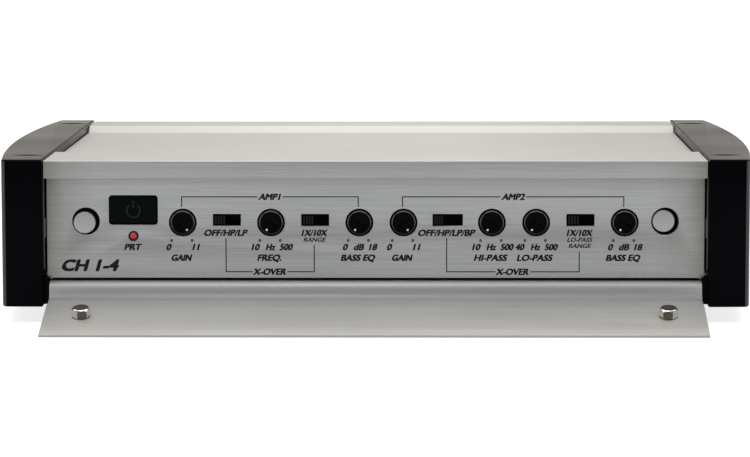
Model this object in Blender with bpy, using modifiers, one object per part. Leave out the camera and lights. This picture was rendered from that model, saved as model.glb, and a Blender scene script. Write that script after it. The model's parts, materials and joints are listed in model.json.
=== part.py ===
"""Car amplifier: extruded lid, folded base plate, two end caps, controls, terminals and electronics.

Frame: +X to the right, +Y to the rear, +Z up.  The origin is on the ground, under the middle.
The control side faces -Y and the terminal side faces +Y.
"""
import math

import bmesh
import bpy
from mathutils import Matrix

MM = 0.001

# ---- overall sizes -----------------------------------------------------------------------------
HOUSING_DEPTH = 205.0 * MM        # front to back over the end caps
LID_WIDTH = 258.4 * MM            # length of the extruded lid between the end caps
CAP_BOTTOM = 6.6 * MM             # the caps float above the ground
CAP_HEIGHT = 57.7 * MM
CLEARANCE = 0.3 * MM              # gap kept between pieces that touch
OVERRUN = 2.0 * MM                # how far a cutter runs past what it cuts
OVERLAP = 1.0 * MM                # how far two joined shapes reach into each other
MERGE = 0.01 * MM                 # points closer than this are one point

# ---- end caps ----------------------------------------------------------------------------------
CAP_SEAM = 0.4 * MM               # gap between a lid end and its cap
CAP_THICKNESS = 15.9 * MM         # at the front and back corners
CAP_BOW = 6.1 * MM                # how much more at the middle of the side
CAP_WALL = 3.0 * MM
CAP_CORNER = 2.0 * MM             # rounding of the outer corners
CAP_EDGE = 0.8 * MM               # rounding of the other edges
CAP_CELLS_ALONG = 7               # ribbed cells inside a cap
CAP_CELLS_UP = 2
CAP_CELL_MARGIN = 1.5 * MM        # cells stay this far inside the base plate and the lid's field
CAP_RIB = 1.6 * MM
SCOOP_LENGTH = 13.0 * MM          # finger scoops in the top of a cap
SCOOP_WIDTH = 4.6 * MM
SCOOP_DEPTH = 0.9 * MM
SCOOP_INSET = 21.0 * MM           # from the front or back face

# ---- lid ---------------------------------------------------------------------------------------
LID_SETBACK = 1.0 * MM            # behind the cap faces
LID_DROP = 0.5 * MM               # ridge tops below the cap tops
LID_WALL = 3.0 * MM
LID_EDGE = 0.9 * MM               # rounding of the two long top edges
FASCIA_HEIGHT = 6.9 * MM
FASCIA_THICKNESS = 2.0 * MM
FRONT_RIDGE = 41.0 * MM           # flat top of the front ridge, front to back
REAR_RIDGE = 26.0 * MM
RECESS_DEPTH = 2.7 * MM           # of the middle field
RECESS_CHAMFER = 6.0 * MM         # run of the two slopes into it
RETAINER_THICKNESS = 2.5 * MM     # lip behind each panel
RETAINER_DEPTH = 4.0 * MM
RAIL_THICKNESS = 6.0 * MM         # heat rails that the transistors are clamped to
RAIL_INSET = 21.5 * MM            # outer face of a rail, from the fascia
RAIL_LIFT = 1.0 * MM              # rail's foot above the board

# ---- panels ------------------------------------------------------------------------------------
PANEL_INSET = 0.9 * MM            # inside the lid's ends
PANEL_THICKNESS = 1.6 * MM
PANEL_GAP = 1.1 * MM              # dark gap between the base plate and a panel
END_PLATE_THICKNESS = 1.8 * MM

# ---- base plate --------------------------------------------------------------------------------
BASE_INSET = 1.9 * MM             # inside the lid's ends
BASE_SHEET = 1.0 * MM
BASE_TOP = 16.9 * MM
BASE_WALL_SETBACK = 0.5 * MM      # front wall behind the cap faces
BASE_BEND = 1.2 * MM              # bend radius at the middle of the sheet
FLANGE_INNER_RUN = 11.5 * MM
FLANGE_OUTER_RUN = 27.0 * MM
FLANGE_INNER_SLOPE = math.radians(7.0)
FLANGE_OUTER_SLOPE = math.radians(15.2)

# ---- mounting screws ---------------------------------------------------------------------------
SCREW_EDGE = 14.6 * MM            # axis to the base plate's ends
SCREW_REACH = 21.0 * MM           # axis in front of the base wall
SCREW_SHANK = 4.2 * MM
SCREW_PLAY = 0.4 * MM             # shank to the hole, all round
SCREW_BELOW = 3.2 * MM            # shank shown under the flange
HEX_ACROSS_FLATS = 6.35 * MM
HEX_HEIGHT = 3.4 * MM
WASHER_DIAMETER = 8.6 * MM
WASHER_HEIGHT = 0.7 * MM
WASHER_CHAMFER = 0.3 * MM
SCREW_POINT = 1.0 * MM            # length of the shank's taper
SCREW_TIP = 1.6 * MM              # diameter at the end of the taper

# ---- controls ----------------------------------------------------------------------------------
# heights on the panels are measured down from the fascia's lower edge
KNOB_DROP = 17.5 * MM
KNOB_DIAMETER = 9.6 * MM
KNOB_PLAY = 0.55 * MM             # knob to its hole, all round
KNOB_LENGTH = 6.0 * MM
KNOB_PROUD = 0.5 * MM
KNOB_CHAMFER = 0.7 * MM
KNOB_TURN = math.radians(300.0)
STEM_DIAMETER = 6.0 * MM
STEM_LENGTH = 2.2 * MM
SLOT_WIDTH = 1.3 * MM
SLOT_DEPTH = 1.1 * MM
SLOT_LENGTH = 6.6 * MM
POT_WIDTH = 10.0 * MM
POT_HEIGHT = 12.6 * MM
POT_AXIS_HEIGHT = 8.5 * MM        # shaft above the board that the pot stands on
POT_DEPTH = 6.6 * MM
POT_COLLAR = 7.0 * MM
POT_COLLAR_LENGTH = 0.8 * MM

SLIDER_DROP = 16.5 * MM           # middle of the switch slots
SLIDER_SLOT_HEIGHT = 4.6 * MM
SLIDER_SLOT = 10.8 * MM
WIDE_SLIDER_SLOT = 11.7 * MM
SLIDER_NUB = 4.4 * MM
WIDE_SLIDER_NUB = 3.6 * MM
SLIDER_PLAY = 0.5 * MM            # nub to the slot's edge, all round
SLIDER_PROUD = 0.3 * MM
SLIDER_FLANGE = 1.0 * MM          # how far the hidden foot spreads past the nub
SLIDER_FOOT = 1.3 * MM            # thickness of the foot
SWITCH_HEIGHT = 7.4 * MM
SWITCH_DEPTH = 5.0 * MM
SWITCH_MARGIN = 2.2 * MM          # switch body past its slot at each end

WINDOW_GAP = 1.05 * MM            # hidden rim to the post's shoulder
WINDOW_DROP = 12.6 * MM
WINDOW_WIDTH = 19.1 * MM
WINDOW_HEIGHT = 11.5 * MM
WINDOW_CORNER = 1.3 * MM
WINDOW_SINK = 0.3 * MM
WINDOW_RIM = 1.6 * MM             # hidden rim behind the panel
WINDOW_RIM_THICKNESS = 1.2 * MM

LED_DROP = 22.8 * MM
LED_DIAMETER = 3.6 * MM
LED_PLAY = 0.25 * MM
LED_PROUD = 1.0 * MM
LED_FLANGE = 0.5 * MM             # past the hole, behind the panel
LED_BODY = 6.0 * MM

POST_EDGE = 15.4 * MM             # axis to the panel's end
POST_DROP = 17.0 * MM
POST_DIAMETER = 9.2 * MM
POST_PLAY = 0.75 * MM
POST_CHAMFER = 0.4 * MM
POST_SHOULDER = 12.6 * MM
POST_SHOULDER_THICKNESS = 1.5 * MM
POST_LENGTH = 8.0 * MM

WINDOW_TO_KNOB = 4.4 * MM         # window opening to the first knob's hole
POST_TO_KNOB = 5.0 * MM           # last knob's hole to the right post's hole
ROW_PLACES = 10                   # equal steps from the first knob to the last

# ---- terminals ---------------------------------------------------------------------------------
TERMINAL_DROP = 15.4 * MM         # middle of the rear connectors
TERMINAL_EDGE = 13.0 * MM         # outer connectors to the panel's ends
POWER_WELLS = 3
POWER_WELL = 9.0 * MM
POWER_PITCH = 13.5 * MM
POWER_WALL = 3.2 * MM
POWER_REACH = 14.0 * MM           # behind the rear panel
POWER_WELL_DEPTH = 15.0 * MM
SPEAKER_WELLS = 8
SPEAKER_WELL = 3.8 * MM
SPEAKER_PITCH = 8.6 * MM
SPEAKER_WALL = 2.8 * MM
SPEAKER_HEIGHT = 12.0 * MM
SPEAKER_REACH = 11.0 * MM
SPEAKER_WELL_DEPTH = 9.0 * MM
TERMINAL_TAIL = 12.0 * MM         # how far a block runs into the housing
RCA_PITCH_X = 18.0 * MM
RCA_PITCH_Z = 14.0 * MM
RCA_BARREL = 8.4 * MM
RCA_BORE = 3.3 * MM
RCA_BORE_DEPTH = 7.5 * MM
RCA_CHAMFER = 0.4 * MM
RCA_PLAY = 0.6 * MM
RCA_REACH = 9.0 * MM
RCA_BLOCK_MARGIN = 6.0 * MM
RCA_BLOCK_DEPTH = 12.0 * MM
FUSE_GAP = 9.0 * MM               # holder to the power terminals
FUSE_PITCH = 10.5 * MM
FUSE_WIDTH = 19.1 * MM
FUSE_THICKNESS = 5.1 * MM
FUSE_BODY = 12.0 * MM
FUSE_BLADE_WIDTH = 5.2 * MM
FUSE_BLADE_THICKNESS = 0.7 * MM
FUSE_BLADE_LENGTH = 7.0 * MM
FUSE_BLADE_INSET = 1.2 * MM
FUSE_TIP_PLAY = 1.0 * MM          # slit past the blade's end
FUSE_SEAT = 4.0 * MM              # fuse body sunk in its holder
FUSE_PLAY = 0.4 * MM
HOLDER_WALL = 3.0 * MM
HOLDER_REACH = 3.0 * MM
HOLDER_BACK = 11.0 * MM           # holder behind the fuse seats

# ---- inside ------------------------------------------------------------------------------------
BOARD_THICKNESS = 1.6 * MM
BOARD_MARGIN = 3.0 * MM           # to the end plates and panels
STANDOFF_DIAMETER = 6.0 * MM
STANDOFF_EDGE = 23.5 * MM         # axis to the board's ends
TOROID_EDGE = 71.5 * MM           # to the board's right end
TOROID_Y = 12.0 * MM
TOROID_RADIUS = 17.0 * MM
TOROID_WINDING = 8.0 * MM
CHOKE_EDGE = 26.5 * MM            # to the board's right end
CHOKE_Y = 24.0 * MM
CHOKE_RADIUS = 8.0 * MM
CHOKE_WINDING = 3.5 * MM
CAPACITORS = 4
CAPACITOR_DIAMETER = 18.0 * MM
CAPACITOR_HEIGHT = 24.0 * MM
CAPACITOR_PITCH = 22.0 * MM
CAPACITOR_EDGE = 24.0 * MM        # first of the row, to the board's left end
CAPACITOR_Y = 18.0 * MM
CAPACITOR_ROUNDING = 0.8 * MM
CAPACITOR_GROOVE = 0.6 * MM
CAPACITOR_GROOVE_Z = 2.0 * MM
TRANSISTOR_WIDTH = 10.2 * MM
TRANSISTOR_THICKNESS = 4.6 * MM
TRANSISTOR_TAB = 1.3 * MM
TRANSISTOR_BODY = 9.2 * MM
TRANSISTOR_HEIGHT = 15.6 * MM
TRANSISTOR_LIFT = 1.2 * MM        # package above the board
TRANSISTOR_INSET = 33.0 * MM      # to the clamp's ends
CLAMP_INSET = 34.0 * MM           # clamp's ends inside the lid's ends
CLAMP_THICKNESS = 2.5 * MM
CLAMP_HEIGHT = 8.0 * MM
CLAMP_LEG = 6.0 * MM

# ---- places worked out from the sizes above ----------------------------------------------------
CAP_TOP = CAP_BOTTOM + CAP_HEIGHT
CAP_INNER_X = LID_WIDTH / 2 + CAP_SEAM
LID_HALF_DEPTH = HOUSING_DEPTH / 2 - LID_SETBACK
LID_TOP = CAP_TOP - LID_DROP
FASCIA_BOTTOM = LID_TOP - FASCIA_HEIGHT
CEILING = LID_TOP - RECESS_DEPTH - LID_WALL
PANEL_FACE = LID_HALF_DEPTH - FASCIA_THICKNESS - CLEARANCE
PANEL_BACK = PANEL_FACE - PANEL_THICKNESS
PANEL_TOP = LID_TOP - LID_WALL - CLEARANCE
PANEL_BOTTOM = BASE_TOP + PANEL_GAP
PANEL_WIDTH = LID_WIDTH - 2 * PANEL_INSET
BASE_WIDTH = LID_WIDTH - 2 * BASE_INSET
SCREW_X = BASE_WIDTH / 2 - SCREW_EDGE
SCREW_HOLE = SCREW_SHANK + 2 * SCREW_PLAY
BASE_WALL_Y = HOUSING_DEPTH / 2 - BASE_WALL_SETBACK
END_PLATE_X = PANEL_WIDTH / 2 - END_PLATE_THICKNESS / 2
RAIL_OUTER = LID_HALF_DEPTH - RAIL_INSET
RAIL_INNER = RAIL_OUTER - RAIL_THICKNESS
KNOB_Z = FASCIA_BOTTOM - KNOB_DROP
KNOB_HOLE = KNOB_DIAMETER + 2 * KNOB_PLAY
SLIDER_Z = FASCIA_BOTTOM - SLIDER_DROP
POST_X = PANEL_WIDTH / 2 - POST_EDGE
POST_Z = FASCIA_BOTTOM - POST_DROP
POST_HOLE = POST_DIAMETER + 2 * POST_PLAY
WINDOW_X = -POST_X + POST_SHOULDER / 2 + WINDOW_GAP + WINDOW_RIM + WINDOW_WIDTH / 2
WINDOW_Z = FASCIA_BOTTOM - WINDOW_DROP
LED_Z = FASCIA_BOTTOM - LED_DROP
LED_HOLE = LED_DIAMETER + 2 * LED_PLAY
FIRST_KNOB_X = WINDOW_X + WINDOW_WIDTH / 2 + WINDOW_TO_KNOB + KNOB_HOLE / 2
LAST_KNOB_X = POST_X - POST_HOLE / 2 - POST_TO_KNOB - KNOB_HOLE / 2
ROW_STEP = (LAST_KNOB_X - FIRST_KNOB_X) / ROW_PLACES
POWER_BLOCK_WIDTH = (POWER_WELLS - 1) * POWER_PITCH + POWER_WELL + 2 * POWER_WALL
POWER_BLOCK_HEIGHT = POWER_WELL + 2 * POWER_WALL
SPEAKER_BLOCK_WIDTH = (SPEAKER_WELLS - 1) * SPEAKER_PITCH + SPEAKER_WELL + 2 * SPEAKER_WALL
HOLDER_WIDTH = FUSE_WIDTH + 2 * HOLDER_WALL
HOLDER_HEIGHT = FUSE_PITCH + FUSE_THICKNESS + 2 * HOLDER_WALL
RCA_BLOCK_WIDTH = RCA_PITCH_X + 2 * RCA_BLOCK_MARGIN
RCA_BLOCK_HEIGHT = RCA_PITCH_Z + 2 * RCA_BLOCK_MARGIN
RCA_HOLE = RCA_BARREL + 2 * RCA_PLAY
TERMINAL_Z = FASCIA_BOTTOM - TERMINAL_DROP
POWER_X = PANEL_WIDTH / 2 - TERMINAL_EDGE - POWER_BLOCK_WIDTH / 2
FUSE_X = POWER_X - POWER_BLOCK_WIDTH / 2 - FUSE_GAP - HOLDER_WIDTH / 2
RCA_X = -PANEL_WIDTH / 2 + TERMINAL_EDGE + RCA_BLOCK_WIDTH / 2
# the speaker terminals sit midway between the RCA jacks and the fuses
SPEAKER_X = (RCA_X + RCA_BLOCK_WIDTH / 2 + FUSE_X - HOLDER_WIDTH / 2) / 2
BOARD_TOP = KNOB_Z - POT_AXIS_HEIGHT
BOARD_WIDTH = 2 * (END_PLATE_X - END_PLATE_THICKNESS / 2 - BOARD_MARGIN)
BOARD_DEPTH = 2 * (PANEL_BACK - BOARD_MARGIN)
CLAMP_LENGTH = LID_WIDTH - 2 * CLAMP_INSET
ROUND = 24                        # sides of the larger round pieces
SMALL_ROUND = 16

KNOBS = (
    # name, place in the row, turned fully clockwise at rest
    ("gain_1", 0, True),
    ("crossover_frequency", 2, False),
    ("bass_boost_1", 4, False),
    ("gain_2", 5, True),
    ("high_pass_frequency", 7, False),
    ("low_pass_frequency", 8, False),
    ("bass_boost_2", 10, False),
)
SWITCHES = (
    # name, place in the row, slot length, nub length
    ("crossover_mode_1", 1, SLIDER_SLOT, SLIDER_NUB),
    ("frequency_range_1", 3, SLIDER_SLOT, SLIDER_NUB),
    ("crossover_mode_2", 6, WIDE_SLIDER_SLOT, WIDE_SLIDER_NUB),
    ("frequency_range_2", 9, SLIDER_SLOT, SLIDER_NUB),
)


def row_x(place):
    """Middle of a control, from its place in the row."""
    return FIRST_KNOB_X + place * ROW_STEP


# ---- scene and materials -----------------------------------------------------------------------
def clear_scene():
    for old in list(bpy.data.objects):
        bpy.data.objects.remove(old, do_unlink=True)


def new_collection(name):
    collection = bpy.data.collections.new(name)
    bpy.context.scene.collection.children.link(collection)
    return collection


def principled(name, colour, roughness, metallic=0.0):
    material = bpy.data.materials.new(name)
    material.use_nodes = True
    shader = material.node_tree.nodes["Principled BSDF"]
    shader.inputs["Base Color"].default_value = (*colour, 1.0)
    shader.inputs["Roughness"].default_value = roughness
    shader.inputs["Metallic"].default_value = metallic
    material.diffuse_color = (*colour, 1.0)
    return material


def make_materials():
    return {
        "lid": principled("silver_lid", (0.72, 0.71, 0.69), 0.38, 0.9),
        "panel": principled("brushed_panel", (0.55, 0.56, 0.56), 0.34, 0.95),
        "sheet": principled("grey_sheet", (0.50, 0.51, 0.51), 0.42, 0.9),
        "cap": principled("gloss_black_moulding", (0.012, 0.013, 0.016), 0.14),
        "control": principled("black_control", (0.015, 0.015, 0.016), 0.3),
        "led": principled("red_lens", (0.65, 0.02, 0.02), 0.2),
        "steel": principled("zinc_steel", (0.66, 0.66, 0.64), 0.28, 1.0),
        "post": principled("silver_post", (0.78, 0.78, 0.77), 0.3, 0.9),
        "board": principled("green_board", (0.03, 0.14, 0.06), 0.5),
        "copper": principled("enamelled_copper", (0.48, 0.19, 0.07), 0.32, 0.8),
        "sleeve": principled("capacitor_sleeve", (0.02, 0.03, 0.08), 0.35),
        "terminal": principled("black_terminal", (0.02, 0.02, 0.022), 0.42),
        "fuse": principled("green_fuse", (0.05, 0.42, 0.12), 0.2),
    }


# ---- shape helpers -----------------------------------------------------------------------------
def evaluated_mesh(obj):
    """The object's mesh with its modifiers applied; the helper object is removed."""
    depsgraph = bpy.context.evaluated_depsgraph_get()
    mesh = bpy.data.meshes.new_from_object(obj.evaluated_get(depsgraph))
    source = obj.data
    bpy.data.objects.remove(obj, do_unlink=True)
    if isinstance(source, bpy.types.Curve):
        bpy.data.curves.remove(source)
    return mesh


def helper_object(name, data):
    obj = bpy.data.objects.new(name, data)
    bpy.context.scene.collection.objects.link(obj)
    return obj


def plate_mesh(name, outline, thickness, holes=()):
    """A flat outline with holes, thickened both ways from z = 0."""
    curve = bpy.data.curves.new(name, "CURVE")
    curve.dimensions = "2D"
    curve.fill_mode = "BOTH"
    curve.extrude = thickness / 2
    for loop in (outline, *holes):
        spline = curve.splines.new("POLY")
        spline.points.add(len(loop) - 1)
        for point, (x, y) in zip(spline.points, loop):
            point.co = (x, y, 0.0, 1.0)
        spline.use_cyclic_u = True
    mesh = evaluated_mesh(helper_object(name, curve))
    solid = bmesh.new()
    solid.from_mesh(mesh)
    bmesh.ops.remove_doubles(solid, verts=solid.verts, dist=MERGE)
    bmesh.ops.recalc_face_normals(solid, faces=solid.faces)
    solid.to_mesh(mesh)
    solid.free()
    return mesh


def turned_mesh(name, profile, sides):
    """A profile of (radius, height) points, from the top down the outer side, turned about z."""
    line = bpy.data.meshes.new(name)
    line.from_pydata([(r, 0.0, z) for r, z in profile], [(i, i + 1) for i in range(len(profile) - 1)], [])
    obj = helper_object(name, line)
    screw = obj.modifiers.new("turn", "SCREW")
    screw.axis = "Z"
    screw.steps = sides
    screw.render_steps = sides
    screw.use_merge_vertices = True
    screw.merge_threshold = MERGE
    mesh = evaluated_mesh(obj)
    mesh.shade_smooth()
    mesh.set_sharp_from_angle(angle=math.radians(35))
    return mesh


def box_mesh(name, size, centre=(0.0, 0.0, 0.0)):
    solid = bmesh.new()
    place = Matrix.Translation(centre) @ Matrix.Diagonal((*size, 1.0))
    bmesh.ops.create_cube(solid, size=1.0, matrix=place)
    mesh = bpy.data.meshes.new(name)
    solid.to_mesh(mesh)
    solid.free()
    return mesh


def boxes_mesh(name, boxes):
    """Several separate boxes, each a (size, centre) pair, as one cutter."""
    solid = bmesh.new()
    for size, centre in boxes:
        place = Matrix.Translation(centre) @ Matrix.Diagonal((*size, 1.0))
        bmesh.ops.create_cube(solid, size=1.0, matrix=place)
    mesh = bpy.data.meshes.new(name)
    solid.to_mesh(mesh)
    solid.free()
    return mesh


def circle(x, y, radius, sides):
    angles = [2 * math.pi * i / sides for i in range(sides)]
    return [(x + radius * math.cos(a), y + radius * math.sin(a)) for a in angles]


def rectangle(x, y, width, height):
    return [
        (x - width / 2, y - height / 2),
        (x + width / 2, y - height / 2),
        (x + width / 2, y + height / 2),
        (x - width / 2, y + height / 2),
    ]


def rounded_rectangle(x, y, width, height, radius, steps=4):
    points = []
    for corner in range(4):
        start = math.pi / 2 * corner
        side_x = 1 if corner in (0, 3) else -1
        side_y = 1 if corner in (0, 1) else -1
        centre_x = x + side_x * (width / 2 - radius)
        centre_y = y + side_y * (height / 2 - radius)
        for step in range(steps + 1):
            angle = start + math.pi / 2 * step / steps
            points.append((centre_x + radius * math.cos(angle), centre_y + radius * math.sin(angle)))
    return points


def fillet(before, corner, after, radius, steps=4):
    """Points of the arc that rounds a corner of an outline."""
    ax, ay = before[0] - corner[0], before[1] - corner[1]
    bx, by = after[0] - corner[0], after[1] - corner[1]
    la, lb = math.hypot(ax, ay), math.hypot(bx, by)
    ax, ay, bx, by = ax / la, ay / la, bx / lb, by / lb
    half = math.acos(max(-1.0, min(1.0, ax * bx + ay * by))) / 2
    reach = radius / math.tan(half)
    mx, my = ax + bx, ay + by
    lm = math.hypot(mx, my)
    cx = corner[0] + mx / lm * radius / math.sin(half)
    cy = corner[1] + my / lm * radius / math.sin(half)
    start = math.atan2(corner[1] + ay * reach - cy, corner[0] + ax * reach - cx)
    end = math.atan2(corner[1] + by * reach - cy, corner[0] + bx * reach - cx)
    sweep = (end - start + math.pi) % (2 * math.pi) - math.pi
    angles = [start + sweep * step / steps for step in range(steps + 1)]
    return [(cx + radius * math.cos(a), cy + radius * math.sin(a)) for a in angles]


def sheet_outline(path, radius, thickness):
    """The closed outline of a folded sheet that follows a path with rounded bends."""
    line = [path[0]]
    for before, corner, after in zip(path, path[1:], path[2:]):
        line.extend(fillet(before, corner, after, radius))
    line.append(path[-1])
    left, right = [], []
    for index, (x, y) in enumerate(line):
        x0, y0 = line[max(index - 1, 0)]
        x1, y1 = line[min(index + 1, len(line) - 1)]
        if 0 < index < len(line) - 1:
            da = math.atan2(y - y0, x - x0)
            db = math.atan2(y1 - y, x1 - x)
            bend = (db - da + math.pi) % (2 * math.pi) - math.pi
            heading = da + bend / 2
            reach = thickness / 2 / math.cos(bend / 2)
        else:
            heading = math.atan2(y1 - y0, x1 - x0)
            reach = thickness / 2
        left.append((x - reach * math.sin(heading), y + reach * math.cos(heading)))
        right.append((x + reach * math.sin(heading), y - reach * math.cos(heading)))
    return left + right[::-1]


# ---- the assembly ------------------------------------------------------------------------------
class Assembly:
    """Puts pieces and cutters in their collections, under the empties that place them."""

    def __init__(self):
        self.parts = new_collection("car_amplifier")
        self.cutters = new_collection("cutters")
        self.materials = make_materials()
        self.body = self.empty("amplifier_origin", (0, 0, 0), (0, 0, 0))
        quarter = math.pi / 2
        # in both panel frames x runs to the viewer's right, y up and z out of the panel
        self.front = self.empty("front_panel_frame", (0, -PANEL_FACE, 0), (quarter, 0, 0))
        self.rear = self.empty("rear_panel_frame", (0, PANEL_FACE, 0), (quarter, 0, math.pi))
        self.board = self.empty("board_frame", (0, 0, BOARD_TOP), (0, 0, 0))

    def empty(self, name, location, rotation):
        frame = bpy.data.objects.new(name, None)
        frame.location = location
        frame.rotation_euler = rotation
        self.parts.objects.link(frame)
        if name != "amplifier_origin":
            frame.parent = self.body
        return frame

    def add(self, name, mesh, material, parent=None, location=(0, 0, 0), rotation=(0, 0, 0)):
        piece = bpy.data.objects.new(name, mesh)
        if not mesh.materials:
            mesh.materials.append(self.materials[material])
        piece.parent = parent or self.body
        piece.location = location
        piece.rotation_euler = rotation
        self.parts.objects.link(piece)
        return piece

    def cut(self, piece, mesh, operation="DIFFERENCE", location=(0, 0, 0), rotation=(0, 0, 0)):
        """Cuts a mesh out of a piece, or joins it on; the mesh is placed in the piece's own frame."""
        cutter = bpy.data.objects.new(piece.name + "_cutter", mesh)
        cutter.parent = piece
        cutter.location = location
        cutter.rotation_euler = rotation
        cutter.hide_render = True
        cutter.display_type = "WIRE"
        self.cutters.objects.link(cutter)
        boolean = piece.modifiers.new("cut", "BOOLEAN")
        boolean.operation = operation
        boolean.solver = "EXACT"
        boolean.object = cutter
        return cutter

    def bevel(self, piece, width, segments=2, angle=math.radians(50)):
        edge = piece.modifiers.new("rounded_edges", "BEVEL")
        edge.width = width
        edge.segments = segments
        edge.limit_method = "ANGLE"
        edge.angle_limit = angle
        return edge


# ---- housing -----------------------------------------------------------------------------------
def cap_half_width(y, inset=0.0):
    """Outer face of an end cap at a distance y from the middle, as an arc over the whole side."""
    chord = HOUSING_DEPTH / 2
    radius = (chord ** 2 + CAP_BOW ** 2) / (2 * CAP_BOW)
    rise = math.sqrt((radius - inset) ** 2 - y ** 2) - (radius - CAP_BOW)
    return CAP_INNER_X + CAP_THICKNESS + rise


def cap_outline(side):
    """Plan of an end cap: straight inner side, bowed outer side, rounded outer corners."""
    steps = 20
    half = HOUSING_DEPTH / 2
    bow = [(cap_half_width(y), y) for y in (half * (2 * i / steps - 1) for i in range(steps + 1))]
    front_inner, rear_inner = (CAP_INNER_X, -half), (CAP_INNER_X, half)
    outline = [front_inner]
    outline += fillet(front_inner, bow[0], bow[1], CAP_CORNER, 5)
    outline += bow[1:-1]
    outline += fillet(bow[-2], bow[-1], rear_inner, CAP_CORNER, 5)
    outline.append(rear_inner)
    return [(side * x, y) for x, y in outline]


def cap_cells(side):
    """Boxes of the ribbed hollow on the inner side of a cap, hidden behind the end plate."""
    inner_depth = HOUSING_DEPTH - 2 * CAP_WALL
    floor = BASE_TOP + CAP_CELL_MARGIN
    inner_height = LID_TOP - RECESS_DEPTH - LID_WALL - CAP_CELL_MARGIN - floor
    middle = floor + inner_height / 2 - (CAP_BOTTOM + CAP_HEIGHT / 2)
    length = (inner_depth - (CAP_CELLS_ALONG - 1) * CAP_RIB) / CAP_CELLS_ALONG
    height = (inner_height - (CAP_CELLS_UP - 1) * CAP_RIB) / CAP_CELLS_UP
    boxes = []
    for along in range(CAP_CELLS_ALONG):
        y = -inner_depth / 2 + length / 2 + along * (length + CAP_RIB)
        outer = cap_half_width(abs(y) + length / 2) - CAP_WALL
        inner = CAP_INNER_X - OVERRUN
        for up in range(CAP_CELLS_UP):
            z = middle - inner_height / 2 + height / 2 + up * (height + CAP_RIB)
            boxes.append(((outer - inner, length, height), (side * (outer + inner) / 2, y, z)))
    return boxes


def scoop_outline():
    """Lens shape with pointed ends, from two arcs."""
    half, sag = SCOOP_LENGTH / 2, SCOOP_WIDTH / 2
    radius = (half ** 2 + sag ** 2) / (2 * sag)
    spread = math.asin(half / radius)
    steps = 8
    arc = []
    for step in range(steps):
        angle = -spread + 2 * spread * step / steps
        arc.append((radius * math.sin(angle), radius * math.cos(angle) - (radius - sag)))
    return arc + [(-x, -y) for x, y in arc]


def build_end_cap(assembly, name, side):
    mesh = plate_mesh(name, cap_outline(side), CAP_HEIGHT)
    cap = assembly.add(name, mesh, "cap", location=(0, 0, CAP_BOTTOM + CAP_HEIGHT / 2))
    assembly.bevel(cap, CAP_EDGE, 2)
    assembly.cut(cap, boxes_mesh(name + "_cells", cap_cells(side)))
    scoop_x = side * (CAP_INNER_X + CAP_THICKNESS / 2)
    scoop = plate_mesh(name + "_scoop", scoop_outline(), 2 * SCOOP_DEPTH)
    for end in (-1, 1):
        y = end * (HOUSING_DEPTH / 2 - SCOOP_INSET)
        assembly.cut(cap, scoop, location=(scoop_x, y, CAP_HEIGHT / 2))


def lid_outline():
    """Section of the lid extrusion as (depth, height) points, front at negative depth."""
    half, top = LID_HALF_DEPTH, LID_TOP
    field = top - RECESS_DEPTH
    lip_inside = half - FASCIA_THICKNESS
    groove_top = top - LID_WALL
    retainer_outer = PANEL_BACK - CLEARANCE
    retainer_inner = retainer_outer - RETAINER_THICKNESS
    rail_foot = BOARD_TOP + RAIL_LIFT
    outer = [(-half, FASCIA_BOTTOM)]
    outer += fillet((-half, FASCIA_BOTTOM), (-half, top), (0, top), LID_EDGE)
    outer += [
        (-half + FRONT_RIDGE, top),
        (-half + FRONT_RIDGE + RECESS_CHAMFER, field),
        (half - REAR_RIDGE - RECESS_CHAMFER, field),
        (half - REAR_RIDGE, top),
    ]
    outer += fillet((0, top), (half, top), (half, FASCIA_BOTTOM), LID_EDGE)
    outer.append((half, FASCIA_BOTTOM))
    inner = [
        (lip_inside, FASCIA_BOTTOM),
        (lip_inside, groove_top),
        (retainer_outer, groove_top),
        (retainer_outer, groove_top - RETAINER_DEPTH),
        (retainer_inner, groove_top - RETAINER_DEPTH),
        (retainer_inner, CEILING),
        (RAIL_OUTER, CEILING),
        (RAIL_OUTER, rail_foot),
        (RAIL_INNER, rail_foot),
        (RAIL_INNER, CEILING),
    ]
    return outer + inner + [(-y, z) for y, z in reversed(inner)]


def build_lid(assembly):
    mesh = plate_mesh("heatsink_lid", lid_outline(), LID_WIDTH)
    # the section's plane is turned so that its depth runs along +Y and its height along +Z
    assembly.add("heatsink_lid", mesh, "lid", rotation=(math.pi / 2, 0, math.pi / 2))


def base_path():
    """Middle line of the folded base sheet, from the front flange's edge to its wall and top."""
    half_sheet = BASE_SHEET / 2
    edge_z = half_sheet * math.cos(FLANGE_OUTER_SLOPE)
    knee_z = edge_z + FLANGE_OUTER_RUN * math.tan(FLANGE_OUTER_SLOPE)
    foot_z = knee_z + FLANGE_INNER_RUN * math.tan(FLANGE_INNER_SLOPE)
    wall = BASE_WALL_Y - half_sheet
    knee = BASE_WALL_Y + FLANGE_INNER_RUN
    return [
        (-knee - FLANGE_OUTER_RUN, edge_z),
        (-knee, knee_z),
        (-wall, foot_z),
        (-wall, BASE_TOP - half_sheet),
    ]


def flange_point(reach):
    """Middle of the flange sheet at a reach from the base wall, as (depth, height)."""
    (edge_y, edge_z), (knee_y, knee_z) = base_path()[:2]
    y = -(BASE_WALL_Y + reach)
    share = (y - edge_y) / (knee_y - edge_y)
    return y, edge_z + share * (knee_z - edge_z)


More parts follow.
